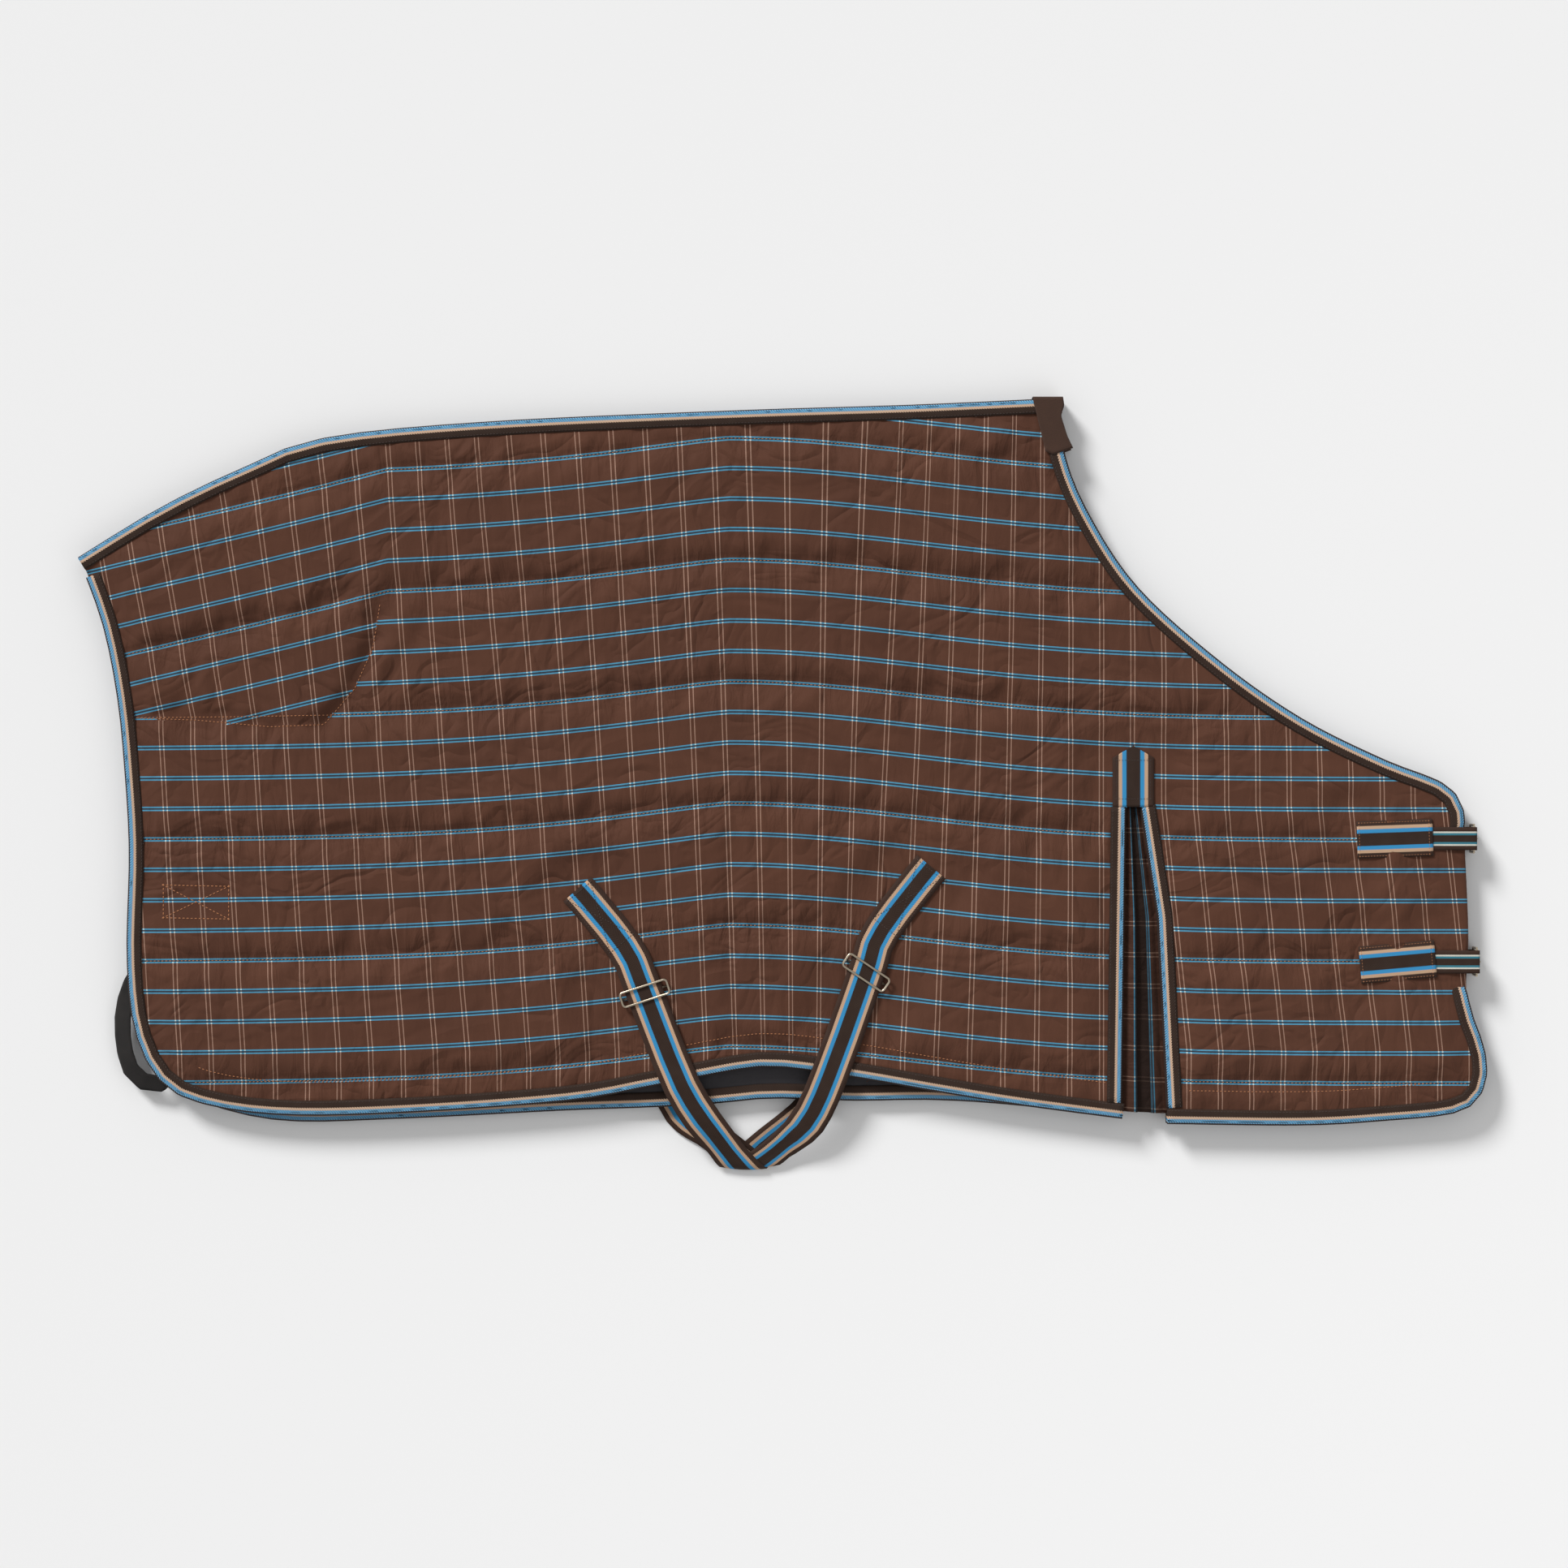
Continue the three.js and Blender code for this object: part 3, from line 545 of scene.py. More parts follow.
def nearest_on(loop, x, y):
    best = np.full(x.shape, 1e9)
    spot = np.zeros((len(x), 2))
    for (ax, ay), (bx, by) in zip(loop, np.roll(loop, -1, axis=0)):
        dx, dy = bx - ax, by - ay
        t = np.clip(((x - ax) * dx + (y - ay) * dy) / max(dx * dx + dy * dy, 1e-12), 0, 1)
        px, py = ax + t * dx, ay + t * dy
        away = np.hypot(x - px, y - py)
        closer = away < best
        best = np.where(closer, away, best)
        spot[closer] = np.column_stack((px, py))[closer]
    return best, spot


def trimmed_grid(name, loop, height):
    """A primitive grid with the faces outside the outline taken away and its edge drawn to the outline."""
    low, high = loop.min(0), loop.max(0)
    size = high - low
    steps = np.ceil(size / GRID).astype(int)
    bpy.ops.object.select_all(action="DESELECT")
    bpy.ops.mesh.primitive_grid_add(x_subdivisions=int(steps[0]), y_subdivisions=int(steps[1]), size=1)
    cloth = bpy.context.object
    cloth.name = name
    points = points_of(cloth)
    points[:, 0] = low[0] + (points[:, 0] + 0.5) * size[0]
    points[:, 1] = low[1] + (points[:, 1] + 0.5) * size[1]
    points[:, 2] = height
    set_points(cloth, points)
    centres = np.array([face.center for face in cloth.data.polygons])
    keep = inside_loop(centres[:, 0], centres[:, 1], loop)
    delete_faces(cloth, ~keep)
    uses = {}
    for face in cloth.data.polygons:
        for edge in face.edge_keys:
            uses[edge] = uses.get(edge, 0) + 1
    edge_points = sorted({i for edge, count in uses.items() if count == 1 for i in edge})
    points = points_of(cloth)
    _, spot = nearest_on(loop, points[edge_points, 0], points[edge_points, 1])
    points[edge_points, :2] = spot
    set_points(cloth, points)
    return cloth


# %% Rows, dart and hem seam
def quilting_rows(x, y):
    """Distance to the nearest row of quilting, in metres."""
    _, down = weave_place(x, y)
    step = np.abs((down / ROW_STEP + 0.5) % 1 - 0.5) * ROW_STEP
    dart_away, _ = line_distance(x, y, dart)
    return np.minimum(step, dart_away)


def row_pinch(away, width):
    return np.exp(-(away / width) ** 1.4)


busy_nodes = {
    "right": ["rear_surcingle", "front_surcingle", "right_upper_chest_patch", "right_lower_chest_patch",
              "right_gusset_tab", "wither_patch"],
    "left": ["rear_slot_tab", "front_slot_tab", "left_upper_chest_patch", "left_lower_chest_patch",
             "left_gusset_tab", "rear_surcingle", "front_surcingle", "upper_chape", "lower_chape"],
}


def clear_of_pieces(x, y, side):
    """1 where the cloth may stand proud, 0 where something is sewn on it or lies on it."""
    room = np.ones(x.shape)
    for node in busy_nodes[side]:
        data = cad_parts[node].data
        flat = np.array([(v.co.x, v.co.y) for v in data.vertices])
        for start in range(0, len(x), 4000):
            part = slice(start, start + 4000)
            apart = np.hypot(x[part, None] - flat[None, :, 0], y[part, None] - flat[None, :, 1])
            away = np.min(apart, axis=1)
            room[part] = np.minimum(room[part], np.clip((away - 0.030) / 0.03, 0, 1))
    edge_away, _ = nearest_on(rims[side], x, y)
    return room * np.clip((edge_away - 0.020) / 0.03, 0, 1)


# %% Padded body by cloth simulation
PUFF_CAP = 0.009  # the wadding lifts no point further than this
PUFF_FRAMES = 16


def wadded(name, side, low, high):
    """A quilted half: pinned along its rows and at its edge, and puffed up between them."""
    loop = inset_loop(rims[side], 0.002)
    body = trimmed_grid(name, loop, high)
    thick = body.modifiers.new("thickness", "SOLIDIFY")
    thick.thickness = high - low
    thick.offset = -1
    apply_all(body)
    points = points_of(body)
    x, y = points[:, 0], points[:, 1]
    middle = (low + high) / 2
    upper = points[:, 2] > middle
    away = quilting_rows(x, y)
    edge_away, _ = nearest_on(loop, x, y)
    pinch = np.maximum(row_pinch(away, 0.013), 0.7 * np.exp(-(edge_away / 0.012) ** 2))
    half = (high - low) / 2 * (1 - 0.50 * pinch)
    points[:, 2] = middle + np.where(upper, half, -half)
    set_points(body, points)
    start = points.copy()
    pins = body.vertex_groups.new(name="stitched")
    held = (away < 0.0066) | (edge_away < 0.014)
    pins.add([int(i) for i in np.nonzero(held)[0]], 1.0, "REPLACE")
    puff(body)
    points = points_of(body)
    shift = points - start
    reach = np.linalg.norm(shift, axis=1, keepdims=True)
    points = start + shift * np.minimum(1, PUFF_CAP / np.maximum(reach, 1e-9))
    return body, points, start, upper


def puff(body):
    cloth = body.modifiers.new("wadding", "CLOTH")
    settings = cloth.settings
    settings.quality = 4
    settings.vertex_group_mass = "stitched"
    settings.pin_stiffness = 1.0
    settings.use_pressure = True
    settings.uniform_pressure_force = 7.0
    settings.shrink_min = -0.05
    settings.tension_stiffness = 12
    settings.compression_stiffness = 12
    settings.shear_stiffness = 4
    settings.bending_stiffness = 0.35
    settings.effector_weights.gravity = 0
    cloth.collision_settings.use_collision = False
    cloth.point_cache.frame_start = 1
    cloth.point_cache.frame_end = PUFF_FRAMES
    for step in range(1, PUFF_FRAMES + 1):
        bpy.context.scene.frame_set(step)
    apply_all(body)
    bpy.context.scene.frame_set(1)


# %% Folds and gathers
CREASES = [  # millimetres: the line of each crease, its depth, and its half width
    ([(-614, 391), (-585, 358), (-571, 310), (-585, 264), (-640, 226)], 3.6, 11),
    ([(-463, 368), (-449, 302), (-463, 246), (-525, 137)], 4.0, 11),
    ([(-378, 471), (-397, 443), (-449, 405)], 3.2, 9),
    ([(505, -62), (560, -95), (640, -140), (705, -150)], 4.2, 8),
    ([(510, -138), (545, -172)], 3.0, 8),
    ([(-700, 330), (-650, 262), (-575, 210)], 2.6, 11),
    ([(-250, 240), (-225, 150), (-238, 60)], 2.4, 11),
    ([(150, 330), (168, 250), (150, 180)], 2.2, 11),
    ([(330, 120), (345, 40), (330, -40)], 2.4, 10),
    ([(-480, -150), (-470, -240), (-492, -330)], 2.2, 10),
    ([(640, -260), (655, -330), (640, -400)], 2.2, 10),
]


def creased(x, y):
    """How deep the cloth dips in its creases, with a soft ridge beside each."""
    depth = np.zeros(x.shape)
    for line, deep, wide in CREASES:
        away, _ = line_distance(x, y, np.array(line) * MM)
        wide = wide * MM
        ridge = 0.6 * np.exp(-((away - 2.4 * wide) / wide) ** 2)
        depth += deep * MM * (np.exp(-(away / wide) ** 2) - ridge)
    return depth


def soft_folds(x, y):
    """Slow waves in the cloth, in metres: the crease down the middle, and wrinkles that the seams draw."""
    waves = np.array([noise.noise(Vector((a * 4.2, b * 7.5, 0.3))) for a, b in zip(x, y)])
    drawn = np.array([noise.noise(Vector((a * 30 + b * 9, b * 8, 4.1))) for a, b in zip(x, y)])
    rows = quilting_rows(x, y)
    low_down = np.clip((0.0 - y) / 0.12, 0, 1)
    crease = np.exp(-((x - ARCH_X) / 0.010) ** 2) * low_down
    crease_sides = np.exp(-((np.abs(x - ARCH_X) - 0.035) / 0.02) ** 2) * low_down
    dart_away, dart_side = line_distance(x, y, dart[3:])
    dart_fold = np.exp(-(dart_away / 0.012) ** 2)
    dart_swell = np.exp(-((dart_away - 0.03) / 0.018) ** 2) * (dart_side > 0)
    gathers = drawn * np.exp(-(rows / 0.03) ** 2)
    slack = np.array([noise.noise(Vector((a * 11 + b * 6, b * 5 - a * 3, 9.7))) for a, b in zip(x, y)])
    raised = 0.0030 * waves + 0.0042 * gathers + 0.0030 * slack
    middle = -0.0060 * crease + 0.0030 * crease_sides
    rump = -0.0080 * dart_fold + 0.0060 * dart_swell
    return raised + middle + rump - creased(x, y)


PROUD = 0.0080  # how far free cloth may stand out past its half
FACES_APART = 1.0 * MM  # each face of a half keeps at least this far from the middle of the wadding


def quilted_half(side, low, high, outward):
    body, points, start, upper = wadded(f"{side}_quilted_half", side, low, high)
    x, y = points[:, 0], points[:, 1]
    room = clear_of_pieces(x, y, side)
    outer = upper if outward > 0 else ~upper
    folds = soft_folds(start[:, 0], start[:, 1])
    points[:, 2] += outward * folds * np.where(outer, 1.0, 0.0) * (0.25 + 0.75 * room)
    reach = np.where(outer, PROUD * room, 0.0)
    middle = (low + high) / 2
    if outward > 0:
        shown = np.clip(points[:, 2], middle + FACES_APART, high - 0.0004 + reach)
        hidden = np.clip(points[:, 2], low + 0.0003, middle - FACES_APART)
    else:
        shown = np.clip(points[:, 2], np.maximum(low + 0.0004 - reach, 0.0006), middle - FACES_APART)
        hidden = np.clip(points[:, 2], middle + FACES_APART, high - 0.0003)
    points[:, 2] = np.where(outer, shown, hidden)
    set_points(body, points)
    face_out(body)
    return body


halves = {
    "right": quilted_half("right", 23.8 * MM, 32.7 * MM, 1),
    "left": quilted_half("left", 7.0 * MM, 15.9 * MM, -1),
}
for side, half in halves.items():
    heights = points_of(half)[:, 2] / MM
    span = heights.min().round(1), "to", heights.max().round(1), "mm"
    print(side, "half", len(half.data.polygons), "faces, z", *span)


# %% Linings and finish of the halves
EDGE_PULL = 0.002  # the lining's edge is drawn this far in, clear of the shell


def lining_under(side, body, direction):
    """The lining is a copy of the padded body's hidden face, set just off it and given a thin ply."""
    lining = copy_of(body, f"{side}_lining_cloth")
    shown = np.array([face.normal.z * direction < 0.5 for face in lining.data.polygons])
    delete_faces(lining, shown)
    points = points_of(lining)
    edge_away, _ = nearest_on(rims[side], points[:, 0], points[:, 1])
    middle_x, middle_y = points[:, 0].mean(), points[:, 1].mean()
    toward = np.column_stack((middle_x - points[:, 0], middle_y - points[:, 1]))
    toward /= np.linalg.norm(toward, axis=1, keepdims=True)
    points[:, :2] += toward * (EDGE_PULL * (edge_away < 0.004))[:, None]
    points[:, 2] += direction * 0.0002
    set_points(lining, points)
    ply = lining.modifiers.new("ply", "SOLIDIFY")
    ply.thickness = 0.0005
    ply.offset = 1
    apply_all(lining)
    give(lining, lining_cloth)
    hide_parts(f"{side}_lining")
    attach(lining, f"{side}_half")
    return lining


def finish_half(side, body):
    finer = body.modifiers.new("finer", "SUBSURF")
    finer.levels = finer.render_levels = 1
    apply_all(body)
    lay_weave(body)
    give(body, check_cloth)
    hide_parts(f"{side}_outer_shell", f"{side}_filling")
    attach(body, f"{side}_half")


for side, direction in (("right", -1), ("left", 1)):
    lining_under(side, halves[side], direction)
for side, half in halves.items():
    finish_half(side, half)
print({side: len(half.data.polygons) for side, half in halves.items()}, "faces after smoothing")


# %% [markdown]
# ## Webbing and bindings
# A strap or a binding is a flat woven band. Each one starts as a primitive grid, long in one direction,
# that is laid along its route and given a ply with Solidify. The grid carries a UV layer with the distance
# along and across the band in metres, so that its woven stripes bend with it.

# %% Band
def spaced(points, step):
    """Points at even distances along a route. Each point is a row of numbers, place first."""
    points = np.asarray(points, float)
    lengths = np.concatenate(([0], np.cumsum(np.linalg.norm(np.diff(points[:, :3], axis=0), axis=1))))
    count = max(3, int(round(lengths[-1] / step)) + 1)
    at = np.linspace(0, lengths[-1], count)
    return np.column_stack([np.interp(at, lengths, column) for column in points.T])


def band(name, rows, ply, finish, stripes):
    """rows[i][j] is where the band's middle surface passes; stripes[j] is the distance across, in metres."""
    rows = np.asarray(rows, float)
    long, wide = rows.shape[0] - 1, rows.shape[1] - 1
    bpy.ops.object.select_all(action="DESELECT")
    bpy.ops.mesh.primitive_grid_add(x_subdivisions=long, y_subdivisions=wide, size=1)
    piece = bpy.context.object
    piece.name = name
    grid = points_of(piece)
    along = np.rint((grid[:, 0] + 0.5) * long).astype(int)
    across = np.rint((grid[:, 1] + 0.5) * wide).astype(int)
    set_points(piece, rows[along, across])
    middle = rows[:, wide // 2]
    run = np.concatenate(([0], np.cumsum(np.linalg.norm(np.diff(middle, axis=0), axis=1))))
    corners = corner_indices(piece)
    layer = piece.data.uv_layers[0]
    layer.name = "weave"
    places = np.column_stack((run[along[corners]], np.asarray(stripes)[across[corners]]))
    layer.data.foreach_set("uv", places.ravel())
    if ply:
        thick = piece.modifiers.new("ply", "SOLIDIFY")
        thick.thickness = ply
        thick.offset = 0
        apply_all(piece)
        face_out(piece)
    return give(piece, finish)


def flat_band(name, route, half, ply, finish, wide=8):
    """A band whose rows lie across its route: route rows are x, y, z, then the half width as a vector."""
    route = np.asarray(route, float)
    share = np.linspace(-1, 1, wide + 1)
    rows = route[:, None, :3] + share[None, :, None] * route[:, None, 3:6]
    return band(name, rows, ply, finish, share * half)


# %% Striped finishes
def striped(name, steps, rib=0.0016, fuzz=0.0, depth=0.0005, fleck=0.0):
    """A woven band: steps are (distance from its middle, colour), from the middle outwards."""
    woven = Finish(name, roughness=0.82, sheen=0.03, specular=0.18)
    where, along, across = woven.across("weave")
    away = woven.math("ABSOLUTE", across)
    lean = woven.plus(along, away)
    ridge = woven.minus(woven.math("FRACT", woven.over(lean, rib)), 0.5)
    ridge = woven.math("ABSOLUTE", ridge)
    wander = woven.times(woven.minus(ridge, 0.25), fuzz)
    away = woven.plus(away, wander)
    colour = steps[0][1]
    for start, shade in steps[1:]:
        colour = woven.blend(woven.math("GREATER_THAN", away, start), colour, shade)
    if fleck:
        light = woven.times(woven.math("GREATER_THAN", ridge, 0.33), fleck)
        past_start = woven.math("GREATER_THAN", away, steps[1][0])
        before_end = woven.math("LESS_THAN", away, steps[2][0])
        striped_part = woven.times(past_start, before_end)
        colour = woven.blend(woven.times(light, striped_part), colour, rgb(226, 230, 232))
    shadow = woven.times(ridge, 0.34)
    colour = woven.blend(shadow, colour, (0.0, 0.0, 0.0, 1)) if depth else colour
    wear = woven.times(woven.mottle(where, 40.0), 0.10)
    colour = woven.blend(wear, colour, rgb(120, 108, 98))
    return woven.ends(colour, ridge, depth=depth)


BROWN = rgb(56, 36, 27)
DARK = rgb(46, 30, 22)
surcingle_webbing = striped("surcingle_webbing", [
    (0, DARK), (0.0086, rgb(50, 146, 200)), (0.0138, rgb(202, 166, 136)), (0.0182, BROWN),
], rib=0.0024, fuzz=0.0020)
chest_webbing = striped("chest_webbing", [
    (0, DARK), (0.0046, rgb(52, 124, 142)), (0.0074, rgb(214, 212, 200)), (0.0096, BROWN),
], fuzz=0.0008)
black_webbing = striped("black_webbing", [(0, rgb(28, 28, 29))], rib=0.0022)
binding_braid = striped("binding_braid", [
    (0, rgb(40, 28, 26)), (0.0092, rgb(60, 142, 186)), (0.0131, rgb(204, 172, 146)), (0.0166, DARK),
], rib=0.0034, fuzz=0.0030, fleck=0.35)
print("woven finishes ready")


# %% Edge of the cloth at the chest
def rolled_under(y):
    """1 where the chest edge rolls under and hides its binding, 0 elsewhere."""
    return np.clip((-0.050 - y) / 0.03, 0, 1) * np.clip((y + 0.290) / 0.03, 0, 1)


# %% Bindings
CORNERS = {
    "neck": (0.3745, 0.5214), "tail": (-0.9505, 0.3064), "slit_rear": (0.4575, -0.4516),
    "slit_rear_top": (0.4635, -0.0306), "slit_front_top": (0.4815, -0.0306), "slit_front": (0.5185, -0.4586),
}
REACH = 0.021


def stretch(side, start, end):
    """The part of a half's outline between two corners, at the outside of its binding."""
    loop = inset_loop(rims[side], -0.0013)
    first, last = (int(np.argmin(np.hypot(*(loop - CORNERS[c]).T))) for c in (start, end))
    if last < first:
        last += len(loop)
    return loop[np.arange(first, last + 1) % len(loop)]


def shorten(points, start, end):
    lengths = np.concatenate(([0], np.cumsum(np.hypot(*np.diff(points, axis=0).T))))
    keep = np.linspace(start, lengths[-1] - end, max(4, int((lengths[-1] - start - end) / 0.008)))
    return np.column_stack([np.interp(keep, lengths, points[:, i]) for i in (0, 1)])


def inward(points):
    along = np.gradient(points, axis=0)
    along /= np.linalg.norm(along, axis=1, keepdims=True)
    return np.column_stack((-along[:, 1], along[:, 0]))


def binding(name, points, low, high, body_name, wraps, rolls=False):
    """A folded binding: over the upper face, round the edge and under the lower face."""
    into = inward(points)
    middle, half = (low + high) / 2, (high - low) / 2 - 0.0005
    face = np.linspace(REACH, 0.0045, 6)
    turn = np.radians(np.linspace(90, -90, 11))
    depth = np.concatenate((face, 0.0045 - 0.0040 * np.cos(turn), face[::-1]))
    rise = np.concatenate((np.full(6, half), half * np.sin(turn), np.full(6, -half)))
    rise[:1] -= 0.0004
    rise[1:4] += 0.0003
    rise[-4:-1] -= 0.0003
    rise[-1:] += 0.0004
    over_face, under_face = 0.0061 + face - 0.0045 + 0.004, 0.0101 + face[::-1] - 0.0045
    stripes = np.concatenate((over_face, 0.0101 * np.sin(turn), -under_face))
    rows = np.zeros((len(points), len(depth), 3))
    rows[:, :, :2] = points[:, None, :] + into[:, None, :] * depth[None, :, None]
    rows[:, :, 2] = middle + rise[None, :]
    if rolls:
        tuck = rolled_under(points[:, 1])[:, None] * (points[:, 0] > 0.8)[:, None]
        rows[:, :, :2] += (into[:, None, :] * 0.008) * tuck[:, :, None]
        rows[:, :, 2] = middle + (rows[:, :, 2] - middle) * (1 - 0.70 * tuck)
    tape = band(name, rows, 0.0009, binding_braid, stripes)
    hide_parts(wraps)
    if body_name:
        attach(tape, body_name)
    return tape


BINDING_Z = {"left": (0.0057, 0.0179), "right": (0.0218, 0.0340)}
for side, (low, high) in BINDING_Z.items():
    body_name = f"{side}_half"
    rear = shorten(stretch(side, "tail", "slit_rear"), 0.031, 0.0)
    front = shorten(stretch(side, "slit_front", "neck"), 0.0, 0.026)
    slit_rear = shorten(stretch(side, "slit_rear", "slit_rear_top"), 0.022, 0.0)
    slit_front = shorten(stretch(side, "slit_front_top", "slit_front"), 0.0, 0.022)
    binding(f"{side}_hem_binding", rear, low, high, body_name, f"{side}_rear_binding")
    binding(f"{side}_neck_binding", front, low, high, body_name, f"{side}_front_binding", rolls=True)
    binding(f"{side}_slit_back_binding", slit_rear, low, high, body_name, f"{side}_slit_rear_binding")
    binding(f"{side}_slit_fore_binding", slit_front, low, high, body_name, f"{side}_slit_front_binding")
spine_edge = shorten(stretch("right", "neck", "tail"), 0, 0)
spine = binding("spine_binding", spine_edge, 0.0057, 0.0340, None, "spine_tape")
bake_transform(spine)
print("bindings follow the CAD outline")


# %% [markdown]
# ## Surcingles
# Two crossed straps hold the rug under the belly. Each is sewn to the right half, drops over the hem, folds
# under, crosses the other and ends in a hook below the left half. The routes are those of the CAD straps, so
# that the loose part passes through its slider and its end turns round the hook's bar.

# %% Surcingle routes, in millimetres: x, y, z and half the width measured along x
REAR_ROUTE = [
    (-276.5, -141.6, 33.8, 32.8), (-264.1, -155.5, 33.8, 32.9), (-232.5, -193.4, 33.8, 32.2),
    (-213.5, -218.6, 33.8, 30.1), (-201.6, -238.6, 35.7, 27.7), (-192.9, -261.9, 36.7, 26.6),
    (-182.7, -288.4, 36.7, 26.8), (-167.5, -328.2, 36.7, 26.7), (-152.1, -367.9, 36.7, 26.9),
    (-135.0, -407.7, 36.7, 28.0), (-122.1, -431.2, 33.6, 29.0), (-106.8, -454.8, 30.4, 30.2),
    (-93.3, -473.5, 25.9, 30.5), (-78.3, -494.1, 18.9, 30.8), (-59.8, -516.0, 11.2, 32.0),
    (-55.5, -520.6, 8.0, 32.0), (-53.5, -521.8, 5.9, 32.0), (-51.2, -520.6, 3.4, 31.9),
    (-47.3, -516.8, 0.8, 31.6), (-35.8, -502.9, 0.8, 33.4), (-20.0, -489.0, 0.8, 36.2),
    (-1.1, -475.0, 0.8, 38.6), (17.5, -461.1, 0.8, 37.9), (33.4, -447.2, 0.8, 34.9),
    (45.6, -433.3, 0.8, 31.5), (62.4, -405.5, 0.8, 28.3), (82.2, -363.7, 0.8, 27.3),
    (106.2, -308.5, 0.8, 27.5),
]
FRONT_ROUTE = [
    (200.5, -111.6, 33.8, 32.0), (186.5, -128.5, 33.8, 32.1), (154.2, -169.4, 33.8, 31.5),
    (134.6, -196.6, 33.8, 29.6), (123.7, -216.6, 35.7, 26.8), (117.4, -240.6, 36.7, 26.0),
    (103.0, -282.3, 36.7, 26.5), (83.4, -338.0, 36.7, 26.6), (62.6, -393.7, 36.7, 26.8),
    (52.4, -419.5, 34.7, 27.1), (41.6, -443.0, 30.7, 28.0), (28.6, -464.1, 26.1, 30.5),
    (11.3, -482.8, 21.0, 33.6), (-2.4, -494.1, 17.0, 35.0), (-18.3, -505.5, 13.0, 37.5),
    (-36.5, -516.8, 9.0, 39.0), (-41.5, -519.5, 7.2, 39.0), (-44.0, -519.9, 5.4, 39.0),
    (-46.6, -519.0, 3.6, 38.6), (-50.5, -516.4, 2.7, 38.4), (-65.4, -503.4, 2.7, 38.2),
    (-81.0, -490.0, 2.7, 38.0), (-99.5, -476.6, 2.7, 38.5), (-117.8, -463.2, 2.7, 35.5),
    (-131.8, -449.9, 2.7, 31.4), (-148.2, -423.1, 2.7, 28.5), (-161.7, -396.3, 2.7, 27.8),
    (-175.9, -366.3, 0.8, 27.6), (-195.1, -325.7, 0.8, 27.6),
]
STATIONS = {  # where each hooked fastening starts under the left half, and which way it points
    "rear": {"anchor": (-276.5, -141.6), "aim": (0.40576, -0.91398)},
    "front": {"anchor": (200.5, -111.6), "aim": (-0.43246, -0.90166)},
}
HOOK_BAR = 143.0
HALF_WEBBING = 0.025
TURN_Y = -0.521  # where the straps fold under


def hook_turn(station):
    """The strap's end: in to the hook's bar, round it and back over itself."""
    anchor, aim = (np.array(STATIONS[station][key]) for key in ("anchor", "aim"))
    side = (aim[1] * 25, -aim[0] * 25) if aim[1] > 0 else (-aim[1] * 25, aim[0] * 25)
    rows = [(HOOK_BAR + 14, 0.8), (HOOK_BAR + 4, 0.8)]
    rows += [(HOOK_BAR - 2.5 + 2.0 * math.cos(math.radians(a)), 2.8 + 2.0 * math.sin(math.radians(a)))
             for a in range(-90, -271, -30)]
    rows += [(HOOK_BAR + 6, 4.6), (HOOK_BAR + 24, 4.5), (HOOK_BAR + 40, 3.9)]
    return [(*(anchor + aim * far), high, side[0], side[1], 0) for far, high in rows]


def surcingle(name, route, station):
    rows = [(x, y, z, reach, 0, 0) for x, y, z, reach in route] + hook_turn(station)
    rows = np.array(rows) * MM
    even = spaced(rows, 0.0055)
    squarely = np.exp(-((even[:, 1] - TURN_Y) / 0.075) ** 2)[:, None]
    aside = -inward(even[:, :2]) * HALF_WEBBING
    aside *= np.where(aside[:, :1] < 0, -1, 1)
    even[:, 3:5] = squarely * even[:, 3:5] + (1 - squarely) * aside
    fold = np.exp(-((even[:, 1] - TURN_Y) / 0.045) ** 2)
    share = np.linspace(-1, 1, 11)
    places = even[:, None, :3] + share[None, :, None] * even[:, None, 3:6]
    across = places[:, :, 0] + 0.046
    places[:, :, 1] += fold[:, None] * np.minimum(2.6 * across ** 2, 0.008)
    sag = np.exp(-((even[:, 1] + 0.30) / 0.10) ** 2) * (even[:, 2] > 0.030)
    places[:, :, 2] += 0.0004 * sag[:, None] * (1 - share[None, :] ** 2)
    strap = band(name, places, 0.0015, surcingle_webbing, share * HALF_WEBBING)
    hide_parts(f"{station_of[name]}_surcingle")
    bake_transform(strap)
    return strap


station_of = {"rear_belly_strap": "rear", "front_belly_strap": "front"}
rear_strap = surcingle("rear_belly_strap", REAR_ROUTE, "front")
front_strap = surcingle("front_belly_strap", FRONT_ROUTE, "rear")
print("belly straps", len(rear_strap.data.polygons), len(front_strap.data.polygons), "faces")


# %% Webbing that holds the slotted plates
def plate_tab(station):
    anchor, aim = (np.array(STATIONS[station][key]) for key in ("anchor", "aim"))
    side = (-aim[1] * 25, aim[0] * 25)
    profile = [(0, 5.9), (30, 5.9), (48, 5.9), (62, 5.1), (77.5, 4.8)]
    profile += [(77.5 + 2.0 * math.cos(a), 2.8 + 2.0 * math.sin(a)) for a in np.radians(range(60, -61, -30))]
    profile += [(77.5, 0.8), (64, 0.9), (52, 2.4), (40, 4.2), (0, 4.2)]
    rows = np.array([(*(anchor + aim * far), high, *side, 0) for far, high in profile]) * MM
    name = f"{station}_plate_webbing"
    tab = flat_band(name, spaced(rows, 0.004), HALF_WEBBING, 0.0014, surcingle_webbing)
    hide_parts(f"{station}_slot_tab")
    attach(tab, "left_half")
    return tab


for station in STATIONS:
    plate_tab(station)


# %% [markdown]
# ## Chest straps
# At the chest the right half carries two narrow billets. Each comes from under a patch of wide webbing,
# goes over the edge and down to its roller buckle, which a chape holds on the left half.

